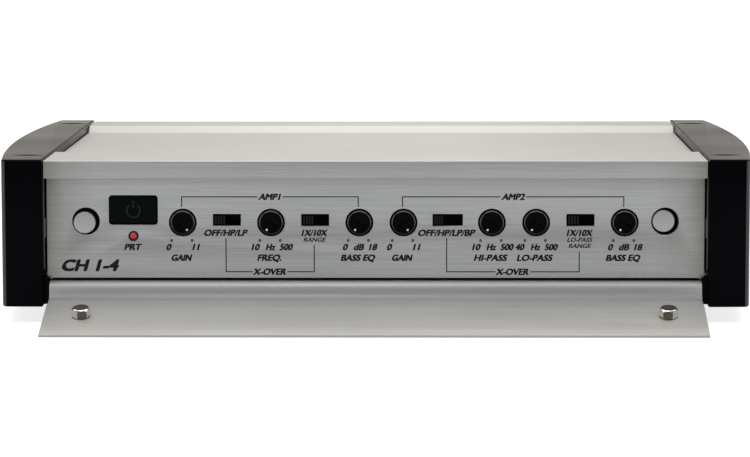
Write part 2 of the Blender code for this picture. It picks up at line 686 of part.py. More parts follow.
def build_base_plate(assembly):
    front = base_path()
    path = front + [(-y, z) for y, z in reversed(front)]
    mesh = plate_mesh("base_plate", sheet_outline(path, BASE_BEND, BASE_SHEET), BASE_WIDTH)
    plate = assembly.add("base_plate", mesh, "sheet", rotation=(math.pi / 2, 0, math.pi / 2))
    radius, reach = SCREW_HOLE / 2, BASE_SHEET / 2 + OVERRUN
    profile = [(0, reach), (radius, reach), (radius, -reach), (0, -reach)]
    hole = turned_mesh("screw_hole", profile, SMALL_ROUND)
    depth, height = flange_point(SCREW_REACH)
    for end in (1, -1):
        for side in (-1, 1):
            # in the section's frame x is the depth, y the height and z the width
            assembly.cut(
                plate, hole,
                location=(end * depth, height, side * SCREW_X),
                rotation=(-math.pi / 2, 0, end * FLANGE_OUTER_SLOPE),
            )


def screw_mesh():
    """Hex head screw with a pressed washer, standing on z = 0 with its head up."""
    across_corners = HEX_ACROSS_FLATS / math.cos(math.pi / 6)
    solid = bmesh.new()
    bmesh.ops.create_cone(
        solid, cap_ends=True, segments=6, radius1=across_corners / 2, radius2=across_corners / 2,
        depth=HEX_HEIGHT, matrix=Matrix.Translation((0, 0, WASHER_HEIGHT / 2 + HEX_HEIGHT / 2)),
    )
    mesh = bpy.data.meshes.new("hex_head")
    solid.to_mesh(mesh)
    solid.free()
    washer, shank = WASHER_DIAMETER / 2, SCREW_SHANK / 2
    foot = -(CLEARANCE + BASE_SHEET + SCREW_BELOW)
    profile = [
        (0, WASHER_HEIGHT), (washer - WASHER_CHAMFER, WASHER_HEIGHT),
        (washer, WASHER_HEIGHT - WASHER_CHAMFER), (washer, 0), (shank, 0),
        (shank, foot + SCREW_POINT), (SCREW_TIP / 2, foot), (0, foot),
    ]
    return mesh, turned_mesh("washer_and_shank", profile, SMALL_ROUND)


def build_mounting_screws(assembly):
    head, shank = screw_mesh()
    depth, height = flange_point(SCREW_REACH)
    lift = BASE_SHEET / 2 + CLEARANCE
    for end, end_name in ((1, "front"), (-1, "rear")):
        for side, side_name in ((-1, "left"), (1, "right")):
            tilt = end * FLANGE_OUTER_SLOPE
            y = end * (depth - lift * math.sin(FLANGE_OUTER_SLOPE))
            z = height + lift * math.cos(FLANGE_OUTER_SLOPE)
            name = "mounting_screw_" + end_name + "_" + side_name
            screw = assembly.add(
                name, shank, "steel", location=(side * SCREW_X, y, z), rotation=(tilt, 0, 0)
            )
            assembly.cut(screw, head, "UNION")


def build_control_panel(assembly):
    height = PANEL_TOP - PANEL_BOTTOM
    outline = rectangle(0, PANEL_BOTTOM + height / 2, PANEL_WIDTH, height)
    holes = [circle(row_x(place), KNOB_Z, KNOB_HOLE / 2, ROUND) for _, place, _ in KNOBS]
    holes += [rectangle(row_x(place), SLIDER_Z, slot, SLIDER_SLOT_HEIGHT) for _, place, slot, _ in SWITCHES]
    holes += [circle(side * POST_X, POST_Z, POST_HOLE / 2, ROUND) for side in (-1, 1)]
    holes.append(circle(WINDOW_X, LED_Z, LED_HOLE / 2, SMALL_ROUND))
    holes.append(rounded_rectangle(WINDOW_X, WINDOW_Z, WINDOW_WIDTH, WINDOW_HEIGHT, WINDOW_CORNER))
    mesh = plate_mesh("control_panel", outline, PANEL_THICKNESS, holes)
    assembly.add("control_panel", mesh, "panel", assembly.front, location=(0, 0, -PANEL_THICKNESS / 2))


def build_connector_panel(assembly):
    height = PANEL_TOP - PANEL_BOTTOM
    outline = rectangle(0, PANEL_BOTTOM + height / 2, PANEL_WIDTH, height)
    gap = 2 * CLEARANCE
    # seen from the rear, so the viewer's right is at negative X
    holes = [
        rectangle(-POWER_X, TERMINAL_Z, POWER_BLOCK_WIDTH + gap, POWER_BLOCK_HEIGHT + gap),
        rectangle(-SPEAKER_X, TERMINAL_Z, SPEAKER_BLOCK_WIDTH + gap, SPEAKER_HEIGHT + gap),
        rectangle(-FUSE_X, TERMINAL_Z, HOLDER_WIDTH + gap, HOLDER_HEIGHT + gap),
    ]
    holes += [circle(-RCA_X + x, TERMINAL_Z + z, RCA_HOLE / 2, ROUND) for x, z in rca_places()]
    mesh = plate_mesh("connector_panel", outline, PANEL_THICKNESS, holes)
    assembly.add("connector_panel", mesh, "panel", assembly.rear, location=(0, 0, -PANEL_THICKNESS / 2))


def build_end_plates(assembly):
    bottom = BASE_TOP + CLEARANCE
    top = CEILING - CLEARANCE
    depth = 2 * (PANEL_BACK - CLEARANCE)
    rail_slot = RAIL_THICKNESS + 2 * CLEARANCE
    rail_foot = BOARD_TOP + RAIL_LIFT - CLEARANCE
    rail_middle = (RAIL_OUTER + RAIL_INNER) / 2
    retainer = RETAINER_THICKNESS + CLEARANCE
    retainer_foot = LID_TOP - LID_WALL - RETAINER_DEPTH - CLEARANCE
    # notches let the lid's rails and retaining lips run past the plate
    half = [
        (depth / 2, bottom),
        (depth / 2, retainer_foot),
        (depth / 2 - retainer, retainer_foot),
        (depth / 2 - retainer, top),
        (rail_middle + rail_slot / 2, top),
        (rail_middle + rail_slot / 2, rail_foot),
        (rail_middle - rail_slot / 2, rail_foot),
        (rail_middle - rail_slot / 2, top),
    ]
    outline = half + [(-y, z) for y, z in reversed(half)]
    mesh = plate_mesh("end_plate", outline, END_PLATE_THICKNESS)
    for side, name in ((-1, "end_plate_left"), (1, "end_plate_right")):
        assembly.add(
            name, mesh, "sheet", location=(side * END_PLATE_X, 0, 0), rotation=(math.pi / 2, 0, math.pi / 2)
        )


# ---- controls ----------------------------------------------------------------------------------
def knob_mesh():
    """Recessed trimmer knob with its stem, face at z = KNOB_PROUD."""
    radius, stem = KNOB_DIAMETER / 2, STEM_DIAMETER / 2
    back = KNOB_PROUD - KNOB_LENGTH
    profile = [
        (0, KNOB_PROUD), (radius - KNOB_CHAMFER, KNOB_PROUD), (radius, KNOB_PROUD - KNOB_CHAMFER),
        (radius, back), (stem, back), (stem, back - STEM_LENGTH), (0, back - STEM_LENGTH),
    ]
    return turned_mesh("trimmer_knob", profile, ROUND)


def pot_mesh():
    """Potentiometer body and collar, collar face at z = 0."""
    size = (POT_WIDTH, POT_HEIGHT, POT_DEPTH)
    body = box_mesh("pot_body", size, (0, 0, -POT_COLLAR_LENGTH - POT_DEPTH / 2))
    radius, back = POT_COLLAR / 2, -POT_COLLAR_LENGTH - OVERLAP
    collar = turned_mesh("pot_collar", [(0, 0), (radius, 0), (radius, back), (0, back)], SMALL_ROUND)
    return body, collar


def build_knobs(assembly):
    knob, (pot, collar) = knob_mesh(), pot_mesh()
    slot = box_mesh("screwdriver_slot", (SLOT_LENGTH, SLOT_WIDTH, 2 * SLOT_DEPTH), (0, 0, KNOB_PROUD))
    pot_face = KNOB_PROUD - KNOB_LENGTH - STEM_LENGTH - CLEARANCE
    # the pots stand on the board, so their bodies sit off the shaft's axis
    pot_bottom = BOARD_TOP + CLEARANCE
    pot_middle = pot_bottom + POT_HEIGHT / 2
    for name, place, clockwise in KNOBS:
        x = row_x(place)
        turn = -KNOB_TURN / 2 if clockwise else KNOB_TURN / 2
        piece = assembly.add(name + "_knob", knob, "control", assembly.front, (x, KNOB_Z, 0), (0, 0, turn))
        assembly.cut(piece, slot)
        body = assembly.add(name + "_pot", pot, "control", assembly.front, (x, pot_middle, pot_face))
        assembly.cut(body, collar, "UNION", (0, KNOB_Z - pot_middle, 0))


def slider_mesh(name, nub):
    """Switch nub that fills its slot's height, with a wider foot behind the panel."""
    height = SLIDER_SLOT_HEIGHT - 2 * SLIDER_PLAY
    foot_front = -PANEL_THICKNESS - CLEARANCE
    body = box_mesh(
        name, (nub + 2 * SLIDER_FLANGE, height + 2 * SLIDER_FLANGE, SLIDER_FOOT),
        (0, 0, foot_front - SLIDER_FOOT / 2),
    )
    length = SLIDER_PROUD - foot_front + SLIDER_FOOT / 2
    tip = box_mesh(name + "_tip", (nub, height, length), (0, 0, SLIDER_PROUD - length / 2))
    return body, tip


def slider_travel(slot, nub):
    return slot - nub - 2 * SLIDER_PLAY


def build_switches(assembly):
    body_face = -PANEL_THICKNESS - 2 * CLEARANCE - SLIDER_FOOT
    for name, place, slot, nub in SWITCHES:
        x = row_x(place)
        foot, tip = slider_mesh(name + "_foot", nub)
        rest = x - slider_travel(slot, nub) / 2
        piece = assembly.add(name + "_slider", foot, "control", assembly.front, (rest, SLIDER_Z, 0))
        assembly.cut(piece, tip, "UNION")
        width = slot + 2 * SWITCH_MARGIN
        case = box_mesh(name + "_case", (width, SWITCH_HEIGHT, SWITCH_DEPTH), (0, 0, -SWITCH_DEPTH / 2))
        assembly.add(name + "_switch", case, "steel", assembly.front, (x, SLIDER_Z, body_face))


def build_window(assembly):
    gap = 2 * CLEARANCE
    width, height = WINDOW_WIDTH - gap, WINDOW_HEIGHT - gap
    depth = PANEL_THICKNESS + CLEARANCE - WINDOW_SINK + WINDOW_RIM_THICKNESS / 2
    lens = plate_mesh(
        "window_lens", rounded_rectangle(0, 0, width, height, WINDOW_CORNER - CLEARANCE), depth
    )
    rim_size = (WINDOW_WIDTH + 2 * WINDOW_RIM, WINDOW_HEIGHT + 2 * WINDOW_RIM, WINDOW_RIM_THICKNESS)
    place = (WINDOW_X, WINDOW_Z, -WINDOW_SINK - depth / 2)
    piece = assembly.add("power_window", lens, "control", assembly.front, place)
    rim_z = -PANEL_THICKNESS - CLEARANCE - WINDOW_RIM_THICKNESS / 2 - place[2]
    assembly.cut(piece, box_mesh("window_rim", rim_size), "UNION", (0, 0, rim_z))


def build_led(assembly):
    radius = LED_DIAMETER / 2
    flange = LED_HOLE / 2 + LED_FLANGE
    flange_z = -PANEL_THICKNESS - CLEARANCE
    steps = 5
    angles = [math.pi / 2 * step / steps for step in range(steps + 1)]
    dome = [(radius * math.sin(a), LED_PROUD - radius * (1 - math.cos(a))) for a in angles]
    profile = dome + [(radius, flange_z), (flange, flange_z), (flange, -LED_BODY), (0, -LED_BODY)]
    mesh = turned_mesh("protection_led", profile, SMALL_ROUND)
    assembly.add("protection_led", mesh, "led", assembly.front, (WINDOW_X, LED_Z, 0))


def build_posts(assembly):
    radius, shoulder = POST_DIAMETER / 2, POST_SHOULDER / 2
    back = -PANEL_THICKNESS - CLEARANCE
    profile = [
        (0, 0), (radius - POST_CHAMFER, 0), (radius, -POST_CHAMFER), (radius, back),
        (shoulder, back), (shoulder, back - POST_SHOULDER_THICKNESS),
        (radius, back - POST_SHOULDER_THICKNESS), (radius, -POST_LENGTH), (0, -POST_LENGTH),
    ]
    mesh = turned_mesh("panel_post", profile, ROUND)
    for side, name in ((-1, "panel_post_left"), (1, "panel_post_right")):
        assembly.add(name, mesh, "post", assembly.front, (side * POST_X, POST_Z, 0))


# ---- terminals ---------------------------------------------------------------------------------
def well_places(count, pitch):
    return [(index - (count - 1) / 2) * pitch for index in range(count)]


def build_terminal_block(assembly, name, x, size, wells, well, reach, depth):
    """A block through the rear panel, with square wire wells open to the rear."""
    width, height = size
    length = reach + TERMINAL_TAIL
    mesh = box_mesh(name, (width, height, length), (0, 0, reach - length / 2))
    block = assembly.add(name, mesh, "terminal", assembly.rear, (-x, TERMINAL_Z, 0))
    boxes = [((well, well, 2 * depth), (place, 0, reach)) for place in wells]
    assembly.cut(block, boxes_mesh(name + "_wells", boxes))


def rca_places():
    return [(sx * RCA_PITCH_X / 2, sz * RCA_PITCH_Z / 2) for sx in (-1, 1) for sz in (-1, 1)]


def build_rca_block(assembly):
    face = -PANEL_THICKNESS - CLEARANCE
    size = (RCA_BLOCK_WIDTH, RCA_BLOCK_HEIGHT, RCA_BLOCK_DEPTH)
    mesh = box_mesh("rca_jack_block", size, (0, 0, face - RCA_BLOCK_DEPTH / 2))
    block = assembly.add("rca_jack_block", mesh, "terminal", assembly.rear, (-RCA_X, TERMINAL_Z, 0))
    radius, bore = RCA_BARREL / 2, RCA_BORE / 2
    floor = RCA_REACH - RCA_BORE_DEPTH
    profile = [
        (0, floor), (bore, floor), (bore, RCA_REACH), (radius - RCA_CHAMFER, RCA_REACH),
        (radius, RCA_REACH - RCA_CHAMFER), (radius, face - OVERLAP), (0, face - OVERLAP),
    ]
    barrel = turned_mesh("rca_barrel", profile, SMALL_ROUND)
    for x, z in rca_places():
        assembly.cut(block, barrel, "UNION", (x, z, 0))


def fuse_mesh():
    """Blade fuse; its seat plane is z = 0, the body stands out and the blades point in."""
    body = box_mesh("blade_fuse", (FUSE_WIDTH, FUSE_THICKNESS, FUSE_BODY), (0, 0, FUSE_BODY / 2))
    blade_x = FUSE_WIDTH / 2 - FUSE_BLADE_INSET - FUSE_BLADE_WIDTH / 2
    length = FUSE_BLADE_LENGTH + OVERLAP
    size = (FUSE_BLADE_WIDTH, FUSE_BLADE_THICKNESS, length)
    blades = [(size, (side * blade_x, 0, -FUSE_BLADE_LENGTH + length / 2)) for side in (-1, 1)]
    return body, boxes_mesh("fuse_blades", blades), blade_x


def build_fuses(assembly):
    body, blades, blade_x = fuse_mesh()
    seat = HOLDER_REACH - FUSE_SEAT
    floor = seat - CLEARANCE
    length = HOLDER_REACH - floor + HOLDER_BACK
    holder = assembly.add(
        "fuse_holder",
        box_mesh("fuse_holder", (HOLDER_WIDTH, HOLDER_HEIGHT, length), (0, 0, HOLDER_REACH - length / 2)),
        "terminal", assembly.rear, (-FUSE_X, TERMINAL_Z, 0),
    )
    play = 2 * FUSE_PLAY
    pocket_depth = 2 * (HOLDER_REACH - floor)
    slit_depth = FUSE_BLADE_LENGTH + FUSE_TIP_PLAY
    slit = (FUSE_BLADE_WIDTH + play, FUSE_BLADE_THICKNESS + play, slit_depth + pocket_depth / 2)
    pockets, slits = [], []
    for row in (-1, 1):
        z = row * FUSE_PITCH / 2
        pockets.append(((FUSE_WIDTH + play, FUSE_THICKNESS + play, pocket_depth), (0, z, HOLDER_REACH)))
        for side in (-1, 1):
            slits.append((slit, (side * blade_x, z, HOLDER_REACH - slit[2] / 2)))
    assembly.cut(holder, boxes_mesh("fuse_pockets", pockets))
    assembly.cut(holder, boxes_mesh("fuse_slits", slits))
    for row, name in ((1, "fuse_upper"), (-1, "fuse_lower")):
        piece = assembly.add(
            name, body, "fuse", assembly.rear, (-FUSE_X, TERMINAL_Z + row * FUSE_PITCH / 2, seat)
        )
        assembly.cut(piece, blades, "UNION")


def build_terminals(assembly):
    build_terminal_block(
        assembly, "power_terminal_block", POWER_X, (POWER_BLOCK_WIDTH, POWER_BLOCK_HEIGHT),
        well_places(POWER_WELLS, POWER_PITCH), POWER_WELL, POWER_REACH, POWER_WELL_DEPTH,
    )
    build_terminal_block(
        assembly, "speaker_terminal_block", SPEAKER_X, (SPEAKER_BLOCK_WIDTH, SPEAKER_HEIGHT),
        well_places(SPEAKER_WELLS, SPEAKER_PITCH), SPEAKER_WELL, SPEAKER_REACH, SPEAKER_WELL_DEPTH,
    )
    build_rca_block(assembly)
    build_fuses(assembly)


# ---- electronics -------------------------------------------------------------------------------
def build_board(assembly):
    sheet = box_mesh(
        "circuit_board", (BOARD_WIDTH, BOARD_DEPTH, BOARD_THICKNESS), (0, 0, -BOARD_THICKNESS / 2)
    )
    board = assembly.add("circuit_board", sheet, "board", assembly.board)
    notches = board_notches()
    if notches:
        assembly.cut(board, boxes_mesh("board_notches", notches))
    length = BOARD_TOP - BOARD_THICKNESS - BASE_TOP - 2 * CLEARANCE
    standoff = turned_mesh("board_standoff", [
        (0, length), (STANDOFF_DIAMETER / 2, length), (STANDOFF_DIAMETER / 2, 0), (0, 0)], 6)
    for side, name in ((-1, "board_standoff_left"), (1, "board_standoff_right")):
        x = side * (BOARD_WIDTH / 2 - STANDOFF_EDGE)
        assembly.add(name, standoff, "steel", location=(x, 0, BASE_TOP + CLEARANCE))


def board_notches():
    """Bites out of the board's rear edge where a connector reaches below the board's top."""
    blocks = (
        # middle x, width, height, reach into the housing
        (POWER_X, POWER_BLOCK_WIDTH, POWER_BLOCK_HEIGHT, TERMINAL_TAIL),
        (SPEAKER_X, SPEAKER_BLOCK_WIDTH, SPEAKER_HEIGHT, TERMINAL_TAIL),
        (FUSE_X, HOLDER_WIDTH, HOLDER_HEIGHT, HOLDER_BACK + FUSE_SEAT),
        (RCA_X, RCA_BLOCK_WIDTH, RCA_BLOCK_HEIGHT, RCA_BLOCK_DEPTH + PANEL_THICKNESS + CLEARANCE),
    )
    boxes = []
    for x, width, height, reach in blocks:
        if TERMINAL_Z - height / 2 > BOARD_TOP + CLEARANCE:
            continue
        front = PANEL_FACE - reach - 2 * CLEARANCE
        back = BOARD_DEPTH / 2 + OVERRUN
        size = (width + 4 * CLEARANCE, back - front, 2 * (BOARD_THICKNESS + OVERRUN))
        boxes.append((size, (x, (back + front) / 2, 0)))
    return boxes


def build_coils(assembly):
    def ring(name, major, minor):
        bpy.ops.mesh.primitive_torus_add(
            major_radius=major, minor_radius=minor, major_segments=ROUND, minor_segments=SMALL_ROUND
        )
        obj = bpy.context.object
        obj.data.name = name
        mesh = obj.data
        bpy.data.objects.remove(obj, do_unlink=True)
        mesh.shade_smooth()
        return mesh

    toroid = ring("toroid_transformer", TOROID_RADIUS, TOROID_WINDING)
    place = (BOARD_WIDTH / 2 - TOROID_EDGE, TOROID_Y, TOROID_WINDING + CLEARANCE)
    assembly.add("toroid_transformer", toroid, "copper", assembly.board, place)
    choke = ring("filter_choke", CHOKE_RADIUS, CHOKE_WINDING)
    place = (BOARD_WIDTH / 2 - CHOKE_EDGE, CHOKE_Y, CHOKE_WINDING + CLEARANCE)
    assembly.add("filter_choke", choke, "copper", assembly.board, place)


def build_capacitors(assembly):
    radius, height = CAPACITOR_DIAMETER / 2, CAPACITOR_HEIGHT
    groove, groove_z = CAPACITOR_GROOVE, CAPACITOR_GROOVE_Z
    profile = [
        (0, height), (radius - CAPACITOR_ROUNDING, height), (radius, height - CAPACITOR_ROUNDING),
        (radius, groove_z + groove), (radius - groove, groove_z), (radius, groove_z - groove),
        (radius, 0), (0, 0),
    ]
    mesh = turned_mesh("storage_capacitor", profile, SMALL_ROUND)
    for index in range(CAPACITORS):
        x = -BOARD_WIDTH / 2 + CAPACITOR_EDGE + index * CAPACITOR_PITCH
        place = (x, CAPACITOR_Y, CLEARANCE)
        assembly.add("storage_capacitor_" + str(index + 1), mesh, "sleeve", assembly.board, place)


def transistor_outline():
    """Side view of a flat package: metal tab against the rail, moulded body below."""
    return [
        (0, 0), (TRANSISTOR_THICKNESS, 0), (TRANSISTOR_THICKNESS, TRANSISTOR_BODY),
        (TRANSISTOR_TAB, TRANSISTOR_BODY), (TRANSISTOR_TAB, TRANSISTOR_HEIGHT), (0, TRANSISTOR_HEIGHT),
    ]


def clamp_outline():
    """Angle section that presses the package bodies against the rail."""
    return [
        (0, 0), (CLAMP_THICKNESS, 0), (CLAMP_THICKNESS, CLAMP_HEIGHT - CLAMP_THICKNESS),
        (CLAMP_LEG, CLAMP_HEIGHT - CLAMP_THICKNESS), (CLAMP_LEG, CLAMP_HEIGHT), (0, CLAMP_HEIGHT),
    ]


def build_power_stage(assembly):
    package = plate_mesh("power_transistor", transistor_outline(), TRANSISTOR_WIDTH)
    clamp = plate_mesh("transistor_clamp", clamp_outline(), CLAMP_LENGTH)
    package_z = BOARD_TOP + TRANSISTOR_LIFT
    clamp_z = package_z + (TRANSISTOR_BODY - CLAMP_HEIGHT) / 2
    for end, end_name, heading in ((-1, "front", math.pi / 2), (1, "rear", -math.pi / 2)):
        turn = (math.pi / 2, 0, heading)
        package_y = end * (RAIL_INNER - CLEARANCE)
        clamp_y = end * (RAIL_INNER - 2 * CLEARANCE - TRANSISTOR_THICKNESS)
        for side, side_name in ((-1, "left"), (1, "right")):
            name = "power_transistor_" + end_name + "_" + side_name
            place = (side * (CLAMP_LENGTH / 2 - TRANSISTOR_INSET), package_y, package_z)
            assembly.add(name, package, "control", location=place, rotation=turn)
        place = (0, clamp_y, clamp_z)
        assembly.add("transistor_clamp_" + end_name, clamp, "steel", location=place, rotation=turn)


def main():
    clear_scene()
    assembly = Assembly()
    build_lid(assembly)
    build_base_plate(assembly)
    build_mounting_screws(assembly)
    build_end_cap(assembly, "end_cap_left", -1)
    build_end_cap(assembly, "end_cap_right", 1)
    build_end_plates(assembly)
    build_control_panel(assembly)
    build_connector_panel(assembly)
    build_knobs(assembly)
    build_switches(assembly)
    build_window(assembly)
    build_led(assembly)
    build_posts(assembly)
    build_terminals(assembly)
    build_board(assembly)
    build_coils(assembly)
    build_capacitors(assembly)
    build_power_stage(assembly)


main()
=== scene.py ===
import json
import math

import bmesh
import bpy
from mathutils import Matrix, Vector


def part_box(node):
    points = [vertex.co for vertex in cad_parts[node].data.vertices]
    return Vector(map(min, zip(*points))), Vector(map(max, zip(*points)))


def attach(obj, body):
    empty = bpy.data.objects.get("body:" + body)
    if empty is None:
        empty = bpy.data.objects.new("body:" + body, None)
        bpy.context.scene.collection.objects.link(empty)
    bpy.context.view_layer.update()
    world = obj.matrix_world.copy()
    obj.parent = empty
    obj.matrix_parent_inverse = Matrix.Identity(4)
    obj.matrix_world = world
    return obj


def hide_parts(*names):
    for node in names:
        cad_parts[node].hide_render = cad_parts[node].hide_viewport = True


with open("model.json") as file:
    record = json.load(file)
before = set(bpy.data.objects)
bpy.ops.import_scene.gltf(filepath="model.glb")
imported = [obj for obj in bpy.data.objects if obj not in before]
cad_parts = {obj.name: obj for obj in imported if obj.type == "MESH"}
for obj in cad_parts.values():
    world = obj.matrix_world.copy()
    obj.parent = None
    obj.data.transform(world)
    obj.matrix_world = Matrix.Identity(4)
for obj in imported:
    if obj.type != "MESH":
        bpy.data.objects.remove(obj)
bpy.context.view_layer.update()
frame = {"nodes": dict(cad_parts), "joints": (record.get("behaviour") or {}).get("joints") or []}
mm = 0.001
quarter = math.pi / 2


studio = {
    "cameraPlace": (18.615 * mm, -1344.5 * mm, 173.8 * mm),
    "lookDown": 6.264,          # degrees
    "lookLeft": 0.851,
    "lean": 0.079,
    "lens": 154.2,              # mm on a 36 mm wide sensor
    "floorColour": (0.45, 0.45, 0.447),
    "floorReach": 40.0,
    "floorGlow": 0.78,          # share of the floor's white that no shadow reaches
    "sides": 5.5,               # watts of each softbox
    "front": 1.3,
    "spark": 4.0,
    # colour of the room from the horizon to straight up
    "room": ((0.0, (0.67, 0.635, 0.585)), (0.13, (0.65, 0.62, 0.575)), (0.26, (0.33, 0.325, 0.32)),
             (0.62, (0.33, 0.33, 0.33)), (0.8, (2.8, 2.78, 2.74))),
}


def softbox(name, place, target, size, watts, colour=(1.0, 1.0, 1.0)):
    lamp = bpy.data.lights.new(name, "AREA")
    lamp.shape = "RECTANGLE"
    lamp.size, lamp.size_y = size
    lamp.energy = watts
    lamp.color = colour
    holder = bpy.data.objects.new(name, lamp)
    holder.location = place
    aim = Vector(target) - Vector(place)
    holder.rotation_euler = aim.to_track_quat("-Z", "Y").to_euler()
    bpy.context.scene.collection.objects.link(holder)


def setStudio():
    scene = bpy.context.scene
    scene.view_settings.view_transform = "Standard"
    lens = bpy.data.cameras.new("viewer")
    lens.lens = studio["lens"]
    lens.sensor_width = 36.0
    lens.clip_end = 200.0
    viewer = bpy.data.objects.new("viewer", lens)
    viewer.location = studio["cameraPlace"]
    viewer.rotation_euler = (
        math.radians(90.0 - studio["lookDown"]),
        math.radians(studio["lean"]),
        math.radians(studio["lookLeft"]),
    )
    scene.collection.objects.link(viewer)
    scene.camera = viewer

    for name, side in (("leftLight", -1), ("rightLight", 1)):
        place = (side * 1.4, -0.8, 0.55)
        softbox(name, place, (0.0, 0.0, 0.05), (1.0, 1.1), studio["sides"], (0.90, 0.95, 1.0))
    softbox("frontLight", (0.0, -2.2, 1.3), (0.0, 0.0, 0.0), (2.4, 0.7), studio["front"])
    softbox("sparkLight", (-0.35, -1.2, 1.5), (0.0, -0.1, 0.03), (0.22, 0.22), studio["spark"])

    world = bpy.data.worlds.new("studioRoom")
    scene.world = world
    world.use_nodes = True
    nodes, links = world.node_tree.nodes, world.node_tree.links
    direction = nodes.new("ShaderNodeTexCoord")
    height = nodes.new("ShaderNodeSeparateXYZ")
    fade = nodes.new("ShaderNodeValToRGB")
    links.new(direction.outputs["Generated"], height.inputs[0])
    links.new(height.outputs["Z"], fade.inputs[0])
    links.new(fade.outputs["Color"], nodes["Background"].inputs["Color"])
    while len(fade.color_ramp.elements) < len(studio["room"]):
        fade.color_ramp.elements.new(0.5)
    for stop, (position, colour) in zip(fade.color_ramp.elements, studio["room"]):
        stop.position = position
        stop.color = (*colour, 1.0)

    mesh = bpy.data.meshes.new("studioFloor")
    half = studio["floorReach"]
    corners = [(-half, -half, 0), (half, -half, 0), (half, half, 0), (-half, half, 0)]
    mesh.from_pydata(corners, [], [(0, 1, 2, 3)])
    floor = bpy.data.objects.new("studioFloor", mesh)
    scene.collection.objects.link(floor)
    paper = bpy.data.materials.new("paleFloor")
    paper.use_nodes = True
    shader = paper.node_tree.nodes["Principled BSDF"]
    shader.inputs["Base Color"].default_value = (*studio["floorColour"], 1.0)
    shader.inputs["Roughness"].default_value = 0.9
    shader.inputs["Specular IOR Level"].default_value = 0.1
    shader.inputs["Emission Color"].default_value = (1.0, 1.0, 0.995, 1.0)
    shader.inputs["Emission Strength"].default_value = studio["floorGlow"]
    mesh.materials.append(paper)
    print("studio: camera, four softboxes, floor")


class Signal:
    # one socket of a finish, usable in plain Python arithmetic
    def __init__(self, finish, socket):
        self.finish = finish
        self.socket = socket

    def maths(self, operation, first, second=0.0):
        return self.finish.add("ShaderNodeMath", {"operation": operation}, {0: first, 1: second})

    def __add__(self, other):
        return self.maths("ADD", self, other)

    def __mul__(self, other):
        return self.maths("MULTIPLY", self, other)


class Finish:
    # a material on a Principled shader; whatever varies is wired in with Signals
    def __init__(self, name, colour, roughness, metallic=0.0, **constants):
        self.material = bpy.data.materials.new(name)
        self.material.use_nodes = True
        self.tree = self.material.node_tree
        self.shader = self.tree.nodes["Principled BSDF"]
        self.colour = (*colour, 1.0)
        self.shader.inputs["Base Color"].default_value = self.colour
        self.shader.inputs["Roughness"].default_value = roughness
        self.shader.inputs["Metallic"].default_value = metallic
        for socket, value in constants.items():
            self.shader.inputs[socket.replace("_", " ")].default_value = value
        self.material.diffuse_color = self.colour
        self.material.roughness = roughness
        self.material.metallic = metallic

    def add(self, kind, settings=None, sockets=None, output=0):
        node = self.tree.nodes.new(kind)
        for key, value in (settings or {}).items():
            if key == "stops":
                self.setStops(node.color_ramp, value)
            else:
                setattr(node, key, value)
        for key, value in (sockets or {}).items():
            if isinstance(value, Signal):
                self.tree.links.new(value.socket, node.inputs[key])
            else:
                node.inputs[key].default_value = value
        return Signal(self, node.outputs[output])

    def setStops(self, ramp, stops):
        while len(ramp.elements) < len(stops):
            ramp.elements.new(0.5)
        for element, (position, colour) in zip(ramp.elements, stops):
            element.position = position
            element.color = (*colour, 1.0) if len(colour) == 3 else colour

    def wire(self, socket, signal):
        self.tree.links.new(signal.socket, self.shader.inputs[socket])

    def coordinates(self, scale=(1.0, 1.0, 1.0)):
        place = self.add("ShaderNodeTexCoord", output="Object")
        return self.add("ShaderNodeMapping", {}, {"Vector": place, "Scale": scale})

    def axis(self, vector, letter):
        return self.add("ShaderNodeSeparateXYZ", {}, {0: vector}, letter)

    def noise(self, vector, scale, detail=2.0, roughness=0.5):
        return self.add(
            "ShaderNodeTexNoise", {}, {"Vector": vector, "Scale": scale, "Detail": detail, "Roughness": roughness}
        )

    def ramp(self, signal, low, high, start=0.0, end=1.0):
        # straight line from low to high while the signal goes from start to end
        return self.add(
            "ShaderNodeMapRange", {"clamp": True},
            {"Value": signal, "From Min": start, "From Max": end, "To Min": low, "To Max": high},
        )

    def fromMiddle(self, letter, low, high, start, end):
        # the same line, by distance from the object's middle along an axis
        outwards = self.axis(self.coordinates(), letter)
        return self.ramp(outwards.maths("ABSOLUTE", outwards), low, high, start, end)

    def blendColour(self, factor, first, second):
        return self.add(
            "ShaderNodeMix", {"data_type": "RGBA"},
            {0: factor, 6: self.asColour(first), 7: self.asColour(second)}, 2,
        )

    def scaled(self, colour, strength):
        colour = colour if isinstance(colour, Signal) else colour[:3]
        return self.add("ShaderNodeVectorMath", {"operation": "SCALE"}, {0: colour, "Scale": strength})

    def asColour(self, value):
        return value if isinstance(value, Signal) or len(value) == 4 else (*value, 1.0)

    def bump(self, height, strength, distance):
        sockets = {"Height": height, "Strength": strength, "Distance": distance}
        relief = self.add("ShaderNodeBump", {}, sockets, "Normal")
        self.wire("Normal", relief)


finishLooks = {
    "lidColour": (0.43, 0.412, 0.397),
    "panelColour": (0.242, 0.248, 0.250),
    # painted shade: towards the end caps, where the caps shade it, the panel is painted darker and warmer
    "panelFade": ((0.3, (0.242, 0.248, 0.250)), (0.75, (0.208, 0.210, 0.206)), (0.97, (0.16, 0.158, 0.142))),
    # painted shade darkens the fold at the flange's foot, and a painted highlight makes the flange paler and warmer
    # towards its outer edge
    "sheetColour": (0.31, 0.314, 0.308),
    "sheetFade": ((0.045, (0.25, 0.255, 0.253)), (0.065, (0.15, 0.153, 0.152)), (0.085, (0.175, 0.178, 0.176)),
                  (0.105, (0.27, 0.274, 0.27)), (0.14, (0.35, 0.354, 0.347)), (0.5, (0.33, 0.33, 0.323)),
                  (0.8, (0.35, 0.345, 0.33)), (0.98, (0.43, 0.412, 0.385))),
    "capColour": (0.0009, 0.001, 0.0015),
    "inkColour": (0.003, 0.003, 0.0035),
}


